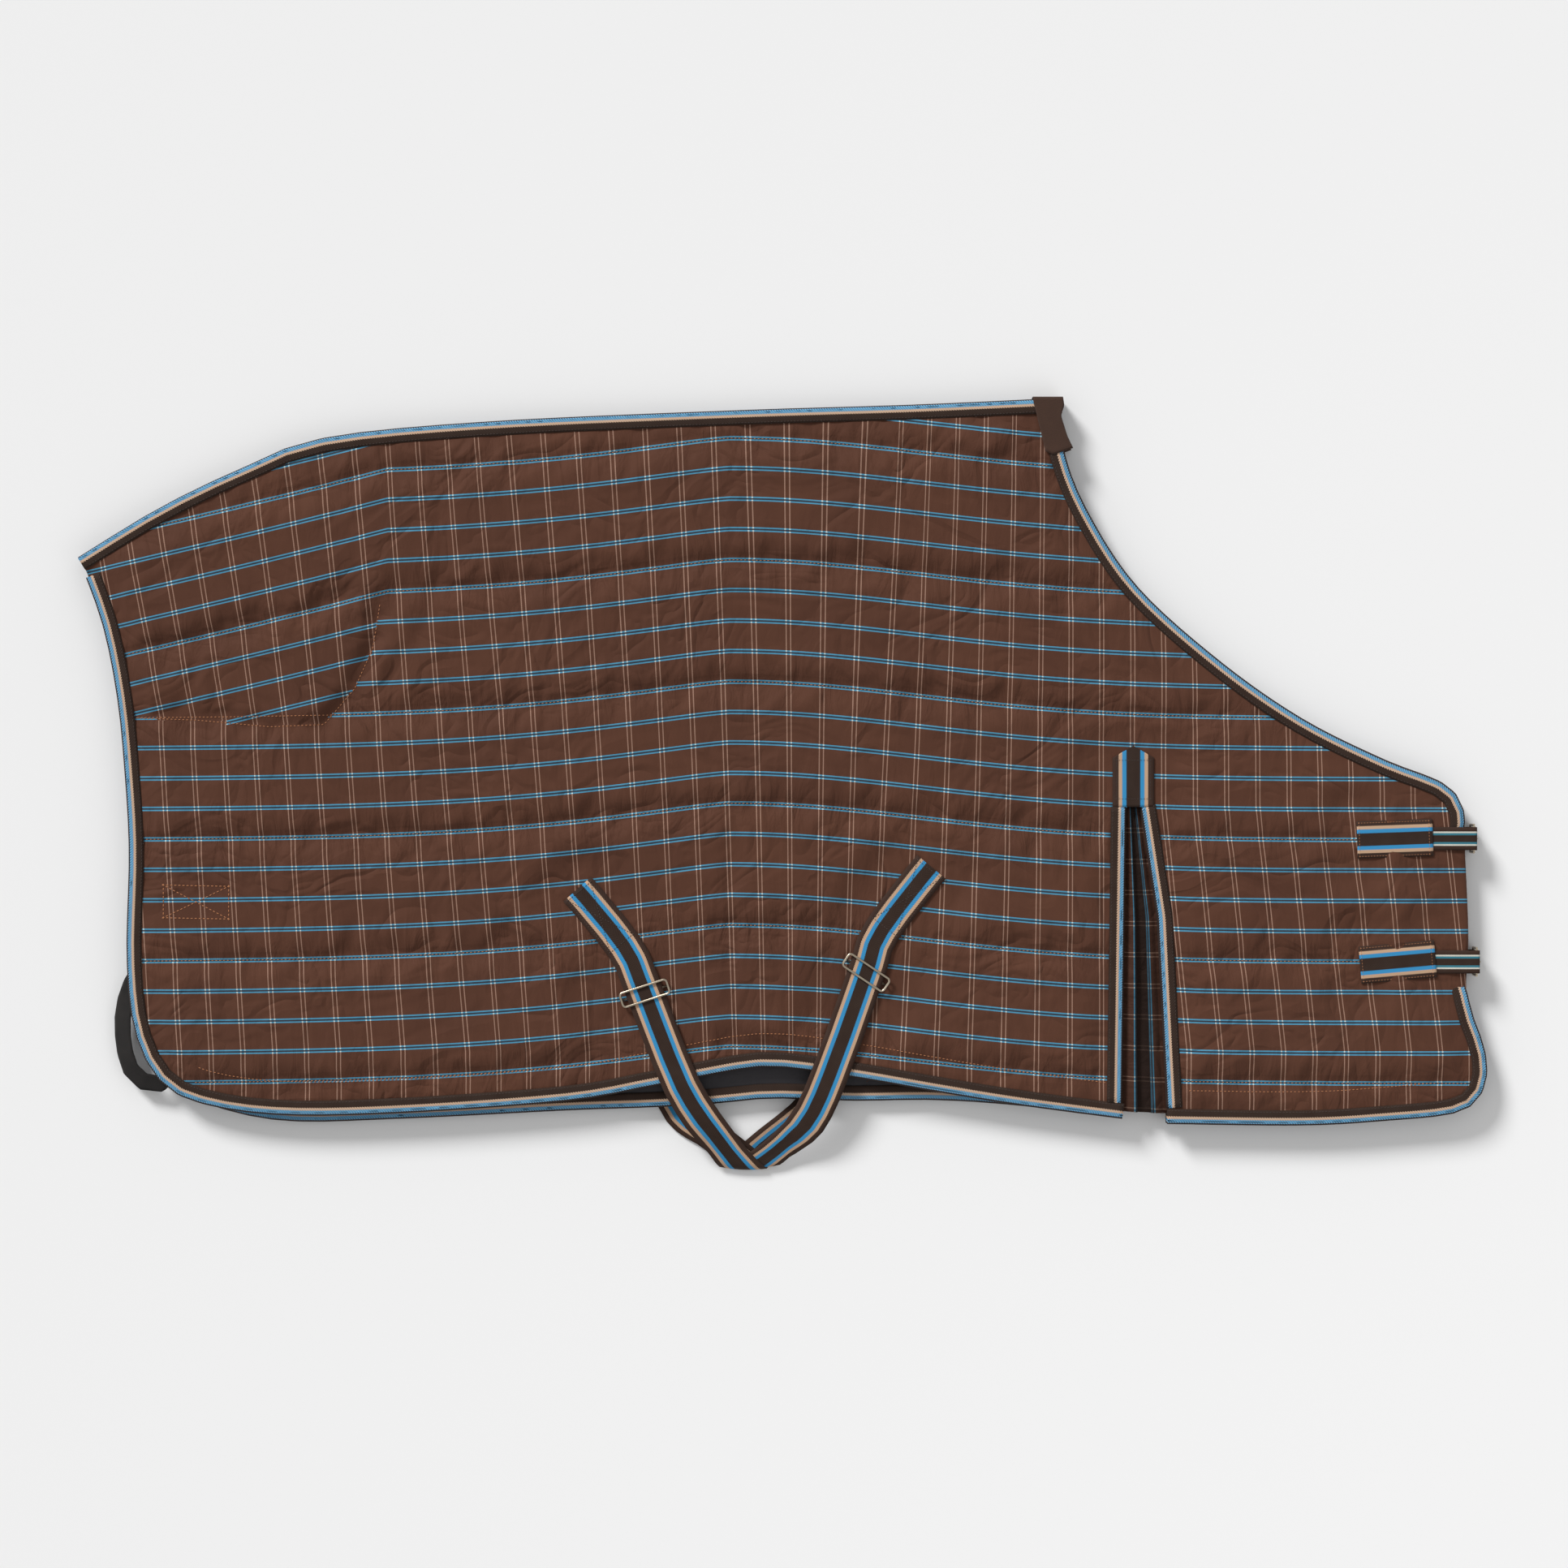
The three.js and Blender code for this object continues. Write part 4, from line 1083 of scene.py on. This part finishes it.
# %% Chest straps
CHEST = {  # millimetres: where the strap lies, its patch, and its buckle's bar
    "upper": {"y": -73.6, "patch": 824.8, "frame": 931.7, "edge": 924.8, "tilt": 2.0},
    "lower": {"y": -239.6, "patch": 828.5, "frame": 935.4, "edge": 928.5, "tilt": 5.0},
}


def arc_points(x, z, radius, start, end, count=7):
    turn = np.radians(np.linspace(start, end, count))
    return [(x + radius * math.cos(a), z + radius * math.sin(a)) for a in turn]


def along_x(y, profile, half):
    return np.array([(x, y, z, 0, half, 0) for x, z in profile]) * MM


def tilted(spec):
    """The directions along and across a patch that lies a little askew."""
    lean = math.radians(spec["tilt"])
    return np.array((math.cos(lean), math.sin(lean))), np.array((-math.sin(lean), math.cos(lean)))


def chest_pieces(level, spec):
    y, frame_x, edge = spec["y"], spec["frame"], spec["edge"]
    billet = [(spec["patch"] - 45, 33.6), (edge - 35, 33.6), (edge - 24, 34.9), (edge - 2, 34.9)]
    billet += [(edge + 5, 35.0), (edge + 9.2, 34.8), (edge + 10.6, 34.2)]
    billet += [(edge + 9.2, 33.6), (edge + 5.5, 33.4)]
    billet += [(edge + 3.6, 32.2), (edge + 3.2, 30.4), (edge + 3.2, 25.3), (frame_x + 3.9, 12.6)]
    billet += arc_points(frame_x, 5.6, 3.9, 0, -90) + [(edge - 25, 1.7), (spec["patch"] - 20, 1.7)]
    route = spaced(along_x(y, billet, 15.5), 0.0018)
    strap = flat_band(f"{level}_chest_billet", route, 0.0155, 0.0011, chest_webbing)
    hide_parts(f"{level}_billet")
    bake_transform(strap)

    chape = [(spec["patch"] - 37, 4.4), (frame_x - 8, 4.4), (frame_x - 4, 6.4)]
    chape += arc_points(frame_x, 5.6, 2.4, 100, -90) + [(frame_x - 6, 3.2), (spec["patch"] - 37, 3.2)]
    route = spaced(along_x(y, chape, 15.5), 0.003)
    loop = flat_band(f"{level}_buckle_chape", route, 0.0155, 0.0010, chest_webbing)
    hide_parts(f"{level}_chape")
    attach(loop, "left_half")

    keeper = [(y - 16.7, 0.4), (y - 16.7, 5.7), (y + 16.7, 5.7), (y + 16.7, 0.4), (y - 16.7, 0.4)]
    rows = np.array([(edge - 37, at, z, 5, 0, 0) for at, z in keeper]) * MM
    ring = flat_band(f"{level}_strap_keeper", spaced(rows, 0.0018), 0.005, 0.0007, chest_webbing, wide=4)
    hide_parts(f"{level}_keeper")
    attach(ring, "left_half")

    for side, z, sign in (("right", 35.2, 1), ("left", 6.0, -1)):
        along, across = tilted(spec)
        centre = np.array((spec["patch"], y))
        far = np.linspace(-51, 51, 27)
        rows = np.array([(*(centre + along * at), z, *(across * 25), 0) for at in far]) * MM
        name = f"{side}_{level}_strap_patch"
        cover = flat_band(name, rows, HALF_WEBBING, 0.0013, surcingle_webbing, wide=16)
        points = points_of(cover)
        local = (points[:, :2] / MM - (spec["patch"], y))
        aside = np.abs(local @ across)
        at_end = np.clip((np.abs(local @ along) - 46) / 5, 0, 1)
        drop = np.clip((aside - 17) / 6, 0, 1) * 1.1 + at_end * 0.3
        points[:, 2] -= sign * drop * MM * (1.0 if side == "right" else 0.15)
        set_points(cover, points)
        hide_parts(f"{side}_{level}_chest_patch")
        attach(cover, f"{side}_half")


for level, spec in CHEST.items():
    chest_pieces(level, spec)
print("chest straps made")


# %% Gusset tabs
def gusset_tab(side, z):
    up = np.concatenate((np.linspace(-6.4, 60, 18), np.linspace(62, 76, 8)))
    half = np.where(up <= 60, 28, np.maximum((76 - up) * 28 / 16, 0.6))
    rows = np.array([(472.5, -24.6 + at, z, wide, 0, 0) for at, wide in zip(up, half)]) * MM
    share = np.linspace(-1, 1, 15)
    places = rows[:, None, :3] + share[None, :, None] * rows[:, None, 3:6]
    tab = band(f"{side}_slit_tab", places, 0.0012, surcingle_webbing, share * 0.0255)
    points = points_of(tab)[corner_indices(tab)]
    places = np.column_stack((points[:, 1], (points[:, 0] - 0.4725) * 0.92))
    tab.data.uv_layers[0].data.foreach_set("uv", places.ravel())
    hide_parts(f"{side}_gusset_tab")
    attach(tab, f"{side}_half")
    return tab


gusset_tab("right", 33.65)
gusset_tab("left", 6.05)


# %% [markdown]
# ## Gussets
# Behind each shoulder slit a triangle of the check cloth is set in, so that the rug can open over the
# shoulder. It lies pleated: a flap at each side and a hollow between them, wider towards the hem. The flaps
# are painted a little darker and the hollow much darker, as painted shade.

# %% Gussets
PLEAT = [  # millimetres across the slit, and how high the cloth stands there
    (-12, 0), (-3, 0.1), (4, 1.5), (11, 5.6), (17, 7.8), (20.5, 7.0), (20.8, 4.8), (18.0, 1.9),
    (20, 0.3), (26, -0.3), (36, -0.3), (41, 0.4), (42.5, 2.0), (39.5, 4.8), (40, 7.0), (43, 7.8),
    (49, 5.6), (56, 1.5), (63, 0.1), (72, 0),
]
# The faces within this share of the slit's middle take the darker painted shade.
HOLLOW_SHARE = 0.185  # of the slit's breadth, to each side of its middle


def gusset(side, flat_z, sign):
    rear = shorten(stretch(side, "slit_rear", "slit_rear_top"), 0.010, -0.004)[::-1]
    fore = shorten(stretch(side, "slit_front_top", "slit_front"), -0.004, 0.014)
    count = 60
    steps = np.linspace(0, 1, count)
    rear, fore = (
        np.column_stack([np.interp(steps, np.linspace(0, 1, len(edge)), edge[:, i]) for i in (0, 1)])
        for edge in (rear, fore)
    )
    shape = spaced([(x, z, 0) for x, z in PLEAT], 1.5)
    rows = np.zeros((count, len(shape), 3))
    for i in range(count):
        wide = np.linalg.norm(fore[i] - rear[i])
        grow = wide / 0.060
        sway = 1.0 + 0.10 * math.sin(i * 0.23)
        inside = (shape[:, 0] > 0) & (shape[:, 0] < 60)
        x = np.where(shape[:, 0] < 0, shape[:, 0], np.where(shape[:, 0] > 60, shape[:, 0] - 60, 0)) * MM
        share = np.clip(shape[:, 0] / 60, 0, 1)
        rows[i, :, 0] = rear[i, 0] + (fore[i, 0] - rear[i, 0]) * share + x
        rows[i, :, 1] = rear[i, 1] + (fore[i, 1] - rear[i, 1]) * share
        height = shape[:, 1] * MM * np.where(inside, np.clip(grow * 1.3, 0.1, 1) * sway, 1)
        rows[i, :, 2] = flat_z * MM + sign * height
    stripes = np.cumsum(np.concatenate(([0], np.hypot(*np.diff(shape[:, :2], axis=0).T)))) * MM
    cloth = band(f"{side}_slit_gusset", rows, 0.0008, check_cloth, stripes)
    layer = cloth.data.uv_layers[0]
    places = np.zeros(len(cloth.data.loops) * 2)
    layer.data.foreach_get("uv", places)
    layer.data.foreach_set("uv", (places.reshape(-1, 2) + (0.01, -0.033)).ravel())
    # Painted shade: the flaps take the check darkened as if in the pleat's shade, and the hollow's faces take
    # a much darker copy.
    give(cloth, pleat_cloth_painted_shade, hollow_cloth_painted_shade)
    middle = 0.5 * (rear + fore)
    faces = np.array([face.center for face in cloth.data.polygons])
    centre = np.interp(faces[:, 1], middle[::-1, 1], middle[::-1, 0])
    breadth = np.interp(faces[:, 1], middle[::-1, 1], np.linalg.norm(fore - rear, axis=1)[::-1])
    hollow = np.abs(faces[:, 0] - centre) < HOLLOW_SHARE * breadth
    cloth.data.polygons.foreach_set("material_index", hollow.astype(int))
    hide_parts(f"{side}_gusset")
    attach(cloth, f"{side}_half")
    return cloth


gusset("right", 20.9, 1)
gusset("left", 18.85, -1)
print("gussets pleated")


# %% Wither patch
def plain_twill(name, first, second):
    twill = Finish(name, roughness=0.85, sheen=0.2, specular=0.25)
    where = twill.from_place()
    fine = twill.mottle(where, 700.0)
    colour = twill.blend(twill.mottle(where, 30.0), first, second)
    return twill.ends(colour, fine, depth=0.0006)


patch_cloth = plain_twill("patch_cloth", rgb(54, 35, 26), rgb(70, 47, 35))


SPINE_Y, FOLD_Z, PATCH_RISE = 520.6, 19.85, 15.05  # millimetres
ACROSS = 15  # points across the patch


def wither_patch():
    """One strip of cloth: up the right half, over the spine and down the left."""
    left_edge = ([448, 484, 516, 523], [354.1, 345.5, 337.5, 337.5])
    right_edge = ([452, 469, 496, 510, 523], [391.5, 383.5, 375.0, 379.5, 377.5])
    share = np.linspace(0, 1, ACROSS)
    hem = np.interp(share, [0, 0.27, 1], [448.4, 443.4, 452.4])
    faces = np.linspace(0, 1, 22)
    turn = np.linspace(90, -90, 9)[1:-1]
    rows = []
    for f in faces:
        y = hem + (SPINE_Y - hem) * f
        ridge = 0.5 * math.exp(-((f - 0.045) / 0.045) ** 2) - 0.4 * (f < 0.01)
        rows.append((y, np.full(ACROSS, 34.9 + ridge)))
    for a in np.radians(turn):
        y, z = SPINE_Y + 1.5 * math.cos(a), FOLD_Z + PATCH_RISE * math.sin(a)
        rows.append((np.full(ACROSS, y), np.full(ACROSS, z)))
    for y, z in [rows[i] for i in range(len(faces) - 1, -1, -1)]:
        rows.append((y, 2 * FOLD_Z - z))
    places = np.zeros((len(rows), ACROSS, 3))
    for i, (y, z) in enumerate(rows):
        near, far = np.interp(y, *left_edge), np.interp(y, *right_edge)
        border = 0.35 * np.exp(-((np.minimum(share, 1 - share) - 0.07) / 0.06) ** 2)
        places[i] = np.column_stack((near + (far - near) * share, y, z + np.sign(z - FOLD_Z) * border)) * MM
    patch = band("neck_patch", places, 0.0009, patch_cloth, share * 0.04)
    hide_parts("wither_patch")
    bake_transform(patch)
    return patch


wither_patch()


# %% [markdown]
# ## Tail strap
# A narrow black strap hangs in a loop behind the rug and keeps it down on the quarters. Both ends are sewn
# inside. It is made in three lengths, so that each end moves with its half; the loop between them is a piece
# of its own.

# %% Tail strap
TAIL_ROUTE = [
    (-761.5, -197.6, 20.8), (-783.9, -205.3, 20.8), (-806.2, -213.4, 20.8), (-827.7, -223.4, 20.8),
    (-848.6, -234.6, 20.8), (-866.5, -250.1, 20.7), (-878.9, -270.2, 20.7), (-887.1, -292.4, 20.6),
    (-891.1, -315.8, 20.4), (-890.9, -339.5, 20.2), (-887.7, -363.0, 20.0), (-880.3, -385.4, 19.7),
    (-863.5, -401.8, 19.4), (-841.2, -404.6, 19.1), (-825.2, -387.4, 19.0), (-813.6, -366.7, 18.9),
    (-806.5, -344.1, 18.9), (-801.1, -321.0, 18.9), (-795.5, -297.9, 19.0), (-789.8, -274.9, 19.0),
    (-784.3, -251.8, 19.0), (-778.9, -228.7, 19.0), (-773.5, -205.6, 19.0),
]


def tail_length(name, first, last, twist=0.0):
    route = np.array(TAIL_ROUTE) * MM
    aside = inward(route[:, :2])
    tilt = twist * np.sin(np.linspace(0, math.pi, last - first))
    part = np.column_stack((route, aside * 0.0125, np.zeros(len(route))))[first:last]
    part[:, 3:5] *= np.cos(tilt)[:, None]
    part[:, 5] = 0.0125 * np.sin(tilt)
    return flat_band(name, spaced(part, 0.005), 0.0125, 0.0012, black_webbing, wide=6)


tail_right = tail_length("tail_strap_right_end", 0, 5)
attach(tail_right, "right_half")
tail_loop = tail_length("tail_strap_loop", 4, 15, twist=0.42)
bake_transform(tail_loop)
tail_left = tail_length("tail_strap_left_end", 14, 23)
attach(tail_left, "left_half")
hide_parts("tail_strap")
print("tail strap in three lengths")


# %% [markdown]
# ## Metal
# The sliders are bent from nickel-plated wire, so each is a torus whose quarters are pulled apart into a
# rounded rectangle, with a bar under the strap. The hooks, plates and buckles keep their CAD shape, with
# their edges rounded by a Bevel modifier.

# %% Nickel
def nickel_wire():
    metal = Finish("nickel_plated_wire", roughness=0.28, metallic=1.0)
    where = metal.from_place()
    cloud = metal.mottle(where, 55.0)
    fine = metal.mottle(where, 800.0)
    colour = metal.blend(cloud, rgb(206, 192, 170), rgb(170, 158, 140))
    roughness = metal.plus(0.2, metal.times(fine, 0.2))
    return metal.ends(colour, fine, depth=0.00006, roughness=roughness)


nickel = nickel_wire()


# %% Sliders
RING_BEND, WIRE_RADIUS = 0.0045, 0.00165  # of the slider's frame
HALF_SHORT, HALF_LONG = 0.0115, 0.0345
ROD_RADIUS = 0.0013


def pull_apart(piece, axis, distance):
    """Moves the half of a ring on each side of an axis outwards, as stretching it would."""
    for sign in (-1, 1):
        chosen = [sign * v.co[axis] > 0 for v in piece.data.vertices]
        bpy.ops.object.mode_set(mode="EDIT")
        bpy.ops.mesh.select_mode(type="VERT")
        bpy.ops.mesh.select_all(action="DESELECT")
        bpy.ops.object.mode_set(mode="OBJECT")
        piece.data.vertices.foreach_set("select", chosen)
        bpy.ops.object.mode_set(mode="EDIT")
        move = [0.0, 0.0, 0.0]
        move[axis] = sign * distance
        bpy.ops.transform.translate(value=move)
        bpy.ops.object.mode_set(mode="OBJECT")


def wire(length, radius, location, rotation):
    bpy.ops.mesh.primitive_cylinder_add(
        vertices=20, radius=radius, depth=length, location=location, rotation=rotation
    )
    rod = bpy.context.object
    bpy.ops.object.transform_apply(location=True, rotation=True, scale=True)
    bpy.ops.object.mode_set(mode="EDIT")
    bpy.ops.mesh.select_mode(type="FACE")
    bpy.ops.object.mode_set(mode="OBJECT")
    ends = [len(face.vertices) > 4 for face in rod.data.polygons]
    rod.data.polygons.foreach_set("select", ends)
    bpy.ops.object.mode_set(mode="EDIT")
    bpy.ops.mesh.bevel(offset=radius * 0.35, segments=3)
    bpy.ops.object.mode_set(mode="OBJECT")
    return rod


def slider(name, x, y, degrees, body_name):
    bpy.ops.object.select_all(action="DESELECT")
    bpy.ops.mesh.primitive_torus_add(
        major_segments=32, minor_segments=14, major_radius=RING_BEND, minor_radius=WIRE_RADIUS,
        rotation=(0, 0, math.radians(360 / 64)),
    )
    ring = bpy.context.object
    ring.name = name
    bpy.ops.object.transform_apply(location=True, rotation=True, scale=True)
    pull_apart(ring, 0, HALF_SHORT - RING_BEND - WIRE_RADIUS)
    pull_apart(ring, 1, HALF_LONG - RING_BEND - WIRE_RADIUS)
    bpy.ops.object.mode_set(mode="EDIT")
    bpy.ops.mesh.select_all(action="SELECT")
    bpy.ops.transform.translate(value=(0, 0, 0.03948))
    bpy.ops.object.mode_set(mode="OBJECT")
    rods = [wire(0.0655, ROD_RADIUS, (0, 0, 0.0343), (math.pi / 2, 0, 0))]
    rods += [wire(0.0052, ROD_RADIUS, (0, side * 0.03275, 0.0369), (0, 0, 0)) for side in (-1, 1)]
    only(ring, *rods)
    bpy.ops.object.join()
    ring.rotation_euler = (0, 0, math.radians(degrees))
    ring.location = (x, y, 0)
    only(ring)
    bpy.ops.object.transform_apply(location=True, rotation=True, scale=True)
    give(ring, nickel)
    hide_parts(name.replace("_wire", ""))
    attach(ring, body_name)
    return ring


slider("rear_slider_wire", -0.1855, -0.2816, -72, "rear_adjuster")
slider("front_slider_wire", 0.1125, -0.2536, -124, "front_adjuster")
print("sliders bent from wire")


# %% Hooks, plates and buckles
METAL_NODES = ["rear_slot_plate", "front_slot_plate", "rear_t_hook", "front_t_hook"]
ROUND_NODES = [f"{level}_buckle_{part}" for level in CHEST for part in ("frame", "roller", "prong")]
for node in METAL_NODES + ROUND_NODES:
    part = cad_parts[node]
    give(part, nickel)
    weld = part.modifiers.new("weld", "WELD")
    weld.merge_threshold = 0.00002
    edge = part.modifiers.new("edge", "BEVEL")
    edge.width = 0.0005 if node in METAL_NODES else 0.0002
    edge.segments = 3
    edge.limit_method = "ANGLE"
    edge.angle_limit = math.radians(40)
    edge.use_clamp_overlap = True
print(len(METAL_NODES + ROUND_NODES), "metal parts keep their CAD shape")


# %% [markdown]
# ## Stitching
# Stitches are what holds the rug together, so they are real pieces. One short thread is modelled. Its points
# are then repeated along every seam, each copy laid on the cloth below it, and a seam is one mesh.

# %% One stitch
STITCH_SIZE = (0.0019, 0.00062, 0.0005)  # half length, half width, half height
SEAM_IN = 0.0185  # how far inside the edge a binding is sewn


def one_stitch():
    bpy.ops.object.select_all(action="DESELECT")
    bpy.ops.mesh.primitive_ico_sphere_add(subdivisions=1, radius=1)
    thread = bpy.context.object
    bpy.ops.object.mode_set(mode="EDIT")
    bpy.ops.transform.resize(value=STITCH_SIZE)
    bpy.ops.object.mode_set(mode="OBJECT")
    shape = points_of(thread), np.array([face.vertices for face in thread.data.polygons])
    bpy.data.objects.remove(thread)
    return shape


STITCH_POINTS, STITCH_FACES = one_stitch()


def thread_finish(name, first, second):
    thread = Finish(name, roughness=0.6, sheen=0.2)
    where = thread.from_place()
    colour = thread.blend(thread.mottle(where, 300.0), first, second)
    return thread.ends(colour, thread.mottle(where, 2500.0), depth=0.0001)


tan_thread = thread_finish("tan_thread", rgb(186, 120, 72), rgb(148, 92, 54))
brown_thread = thread_finish("brown_thread", rgb(40, 26, 20), rgb(60, 40, 30))


def sewn_along(name, routes, finish, body_name, ground, face=1, pitch=0.0052, size=1.0, lift=0.0002):
    """Stitches along routes in plan, laid on the pieces in ground."""
    trees = [BVHTree.FromObject(piece, bpy.context.evaluated_depsgraph_get()) for piece in ground]
    points, faces = [], []
    for route in routes:
        route = np.asarray(route, float)
        if len(route) < 2:
            continue
        even = spaced(np.column_stack((route, np.zeros(len(route)))), pitch)[:, :2]
        along = np.gradient(even, axis=0)
        for (x, y), (dx, dy) in zip(even, along):
            start, toward = Vector((x, y, 0.1 * face)), Vector((0, 0, -face))
            hits = [tree.ray_cast(start, toward)[0] for tree in trees]
            hits = [hit.z for hit in hits if hit is not None]
            if not hits:
                continue
            z = max(hits) if face > 0 else min(hits)
            c, s = np.array((dx, dy)) / max(math.hypot(dx, dy), 1e-9)
            turned = STITCH_POINTS * size @ np.array([(c, s, 0), (-s, c, 0), (0, 0, 1)])
            faces.append(STITCH_FACES + len(points) * len(STITCH_POINTS))
            points.append(turned + (x, y, z + face * lift))
    mesh = bpy.data.meshes.new(name)
    mesh.from_pydata(np.concatenate(points).tolist(), [], np.concatenate(faces).tolist())
    seam = bpy.data.objects.new(name, mesh)
    bpy.context.scene.collection.objects.link(seam)
    give(seam, finish)
    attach(seam, body_name)
    print(name, len(points), "stitches")
    return seam


# %% Where the seams run
def runs_inside(route, loop):
    """The parts of a route that lie inside a loop."""
    keep = inside_loop(route[:, 0], route[:, 1], loop)
    parts, current = [], []
    for point, inside in zip(route, keep):
        if inside:
            current.append(point)
        elif current:
            parts.append(np.array(current))
            current = []
    if current:
        parts.append(np.array(current))
    return parts


def row_routes(side):
    loop = inset_loop(rims[side], 0.022)
    routes = []
    x = np.arange(-0.94, 0.94, 0.006)
    for row in range(-4, 5):
        y = row * ROW_STEP + ROW_START - arch_drop(x)
        raised = y - RUMP_SLOPE * np.maximum(RUMP_X - x, 0)
        behind = (x < RUMP_X) & (rump_share(x, raised) > 0.5)
        y = np.where(behind, raised, y)
        route = np.column_stack((x, y))
        jumps = np.nonzero(np.abs(np.diff(y)) > 0.02)[0] + 1
        for part in np.split(route, jumps):
            routes += runs_inside(part, loop)
    routes += runs_inside(spaced(np.column_stack((dart, np.zeros(len(dart)))), 0.005)[:, :2], loop)
    return routes


def hem_row(side):
    rear = shorten(stretch(side, "tail", "slit_rear"), 0, 0.03)
    fore = shorten(stretch(side, "slit_front", "neck"), 0.03, 0)
    rear = rear[(rear[:, 0] > -0.80) & (rear[:, 1] < -0.3)]
    fore = fore[(fore[:, 0] < 0.88) & (fore[:, 1] < -0.4)]
    return [part + inward(part) * 0.046 for part in (rear, fore)]


def tape_seams(side):
    seams = []
    for start, end, drop in (
        ("tail", "slit_rear", (0.033, 0.002)), ("slit_front", "neck", (0.002, 0.03)),
        ("slit_rear", "slit_rear_top", (0.024, 0.002)), ("slit_front_top", "slit_front", (0.002, 0.024)),
    ):
        part = shorten(stretch(side, start, end), *drop)
        part = part + inward(part) * SEAM_IN
        if start == "slit_front":
            part = part[(rolled_under(part[:, 1]) < 0.02) | (part[:, 0] < 0.8)]
            jumps = np.nonzero(np.hypot(*np.diff(part, axis=0).T) > 0.03)[0] + 1
            seams += [piece for piece in np.split(part, jumps) if len(piece) > 3]
        else:
            seams.append(part)
    return seams


def crossed_box(corner, along, across, long, wide):
    """A sewn rectangle with a cross in it."""
    a, b = np.array(corner), np.array(corner) + np.array(along) * long
    side = np.array(across) * wide
    return [[a, b], [b, b + side], [b + side, a + side], [a + side, a], [a, b + side], [b, a + side]]


# %% Sew
for side, face in (("right", 1), ("left", -1)):
    body_name, ground = f"{side}_half", [halves[side]]
    rows = row_routes(side) + hem_row(side)
    sewn_along(f"{side}_quilting", rows, tan_thread, body_name, ground, face)
    tapes = [bpy.data.objects[f"{side}_{part}_binding"] for part in ("hem", "neck", "slit_back", "slit_fore")]
    edges = tape_seams(side)
    sewn_along(f"{side}_tape_seams", edges, brown_thread, body_name, tapes, face, pitch=0.0044, size=0.75)
    box = crossed_box((-0.833, -0.180), (1, -0.02), (0, 1), 0.088, 0.044)
    sewn_along(f"{side}_tail_strap_box", box, tan_thread, body_name, ground, face, pitch=0.0055, size=1.15)

spine_seam = shorten(stretch("right", "neck", "tail"), 0.02, 0.01)
spine_seam = spine_seam + inward(spine_seam) * SEAM_IN
sewn_along("spine_seam", [spine_seam], brown_thread, "right_half", [spine], 1, pitch=0.0044, size=0.75)


def strap_boxes():
    seams = []
    for route in (REAR_ROUTE, FRONT_ROUTE):
        start, stitch = np.array(route[0][:2]) * MM, np.array(route[3][:2]) * MM
        along = (stitch - start) / np.linalg.norm(stitch - start)
        across = np.array((-along[1], along[0]))
        long = np.linalg.norm(stitch - start) - 0.009
        seams += crossed_box(start + along * 0.004 - across * 0.020, along, across, long, 0.040)
    return seams


straps = [rear_strap, front_strap]
sewn_along("belly_strap_boxes", strap_boxes(), brown_thread, "right_half", straps, 1, pitch=0.0042, size=0.8)


def patch_seams(spec):
    along, across = tilted(spec)
    middle = np.array((spec["patch"], spec["y"])) * MM
    corner = middle - along * 0.048 - across * 0.0225
    return crossed_box(corner, along, across, 0.094, 0.045)[:4]


for side, face in (("right", 1), ("left", -1)):
    covers = [bpy.data.objects[f"{side}_{level}_strap_patch"] for level in CHEST]
    seams = [seam for spec in CHEST.values() for seam in patch_seams(spec)]
    sewn_along(f"{side}_patch_seams", seams, tan_thread, f"{side}_half", covers, face, pitch=0.0040, size=0.7)
    tab = bpy.data.objects[f"{side}_slit_tab"]
    box = crossed_box((0.4495, -0.0200), (0, 1), (1, 0), 0.052, 0.046)[:4]
    sewn_along(f"{side}_tab_seams", box, brown_thread, f"{side}_half", [tab], face, pitch=0.0042, size=0.75)


# %% Close
low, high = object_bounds()
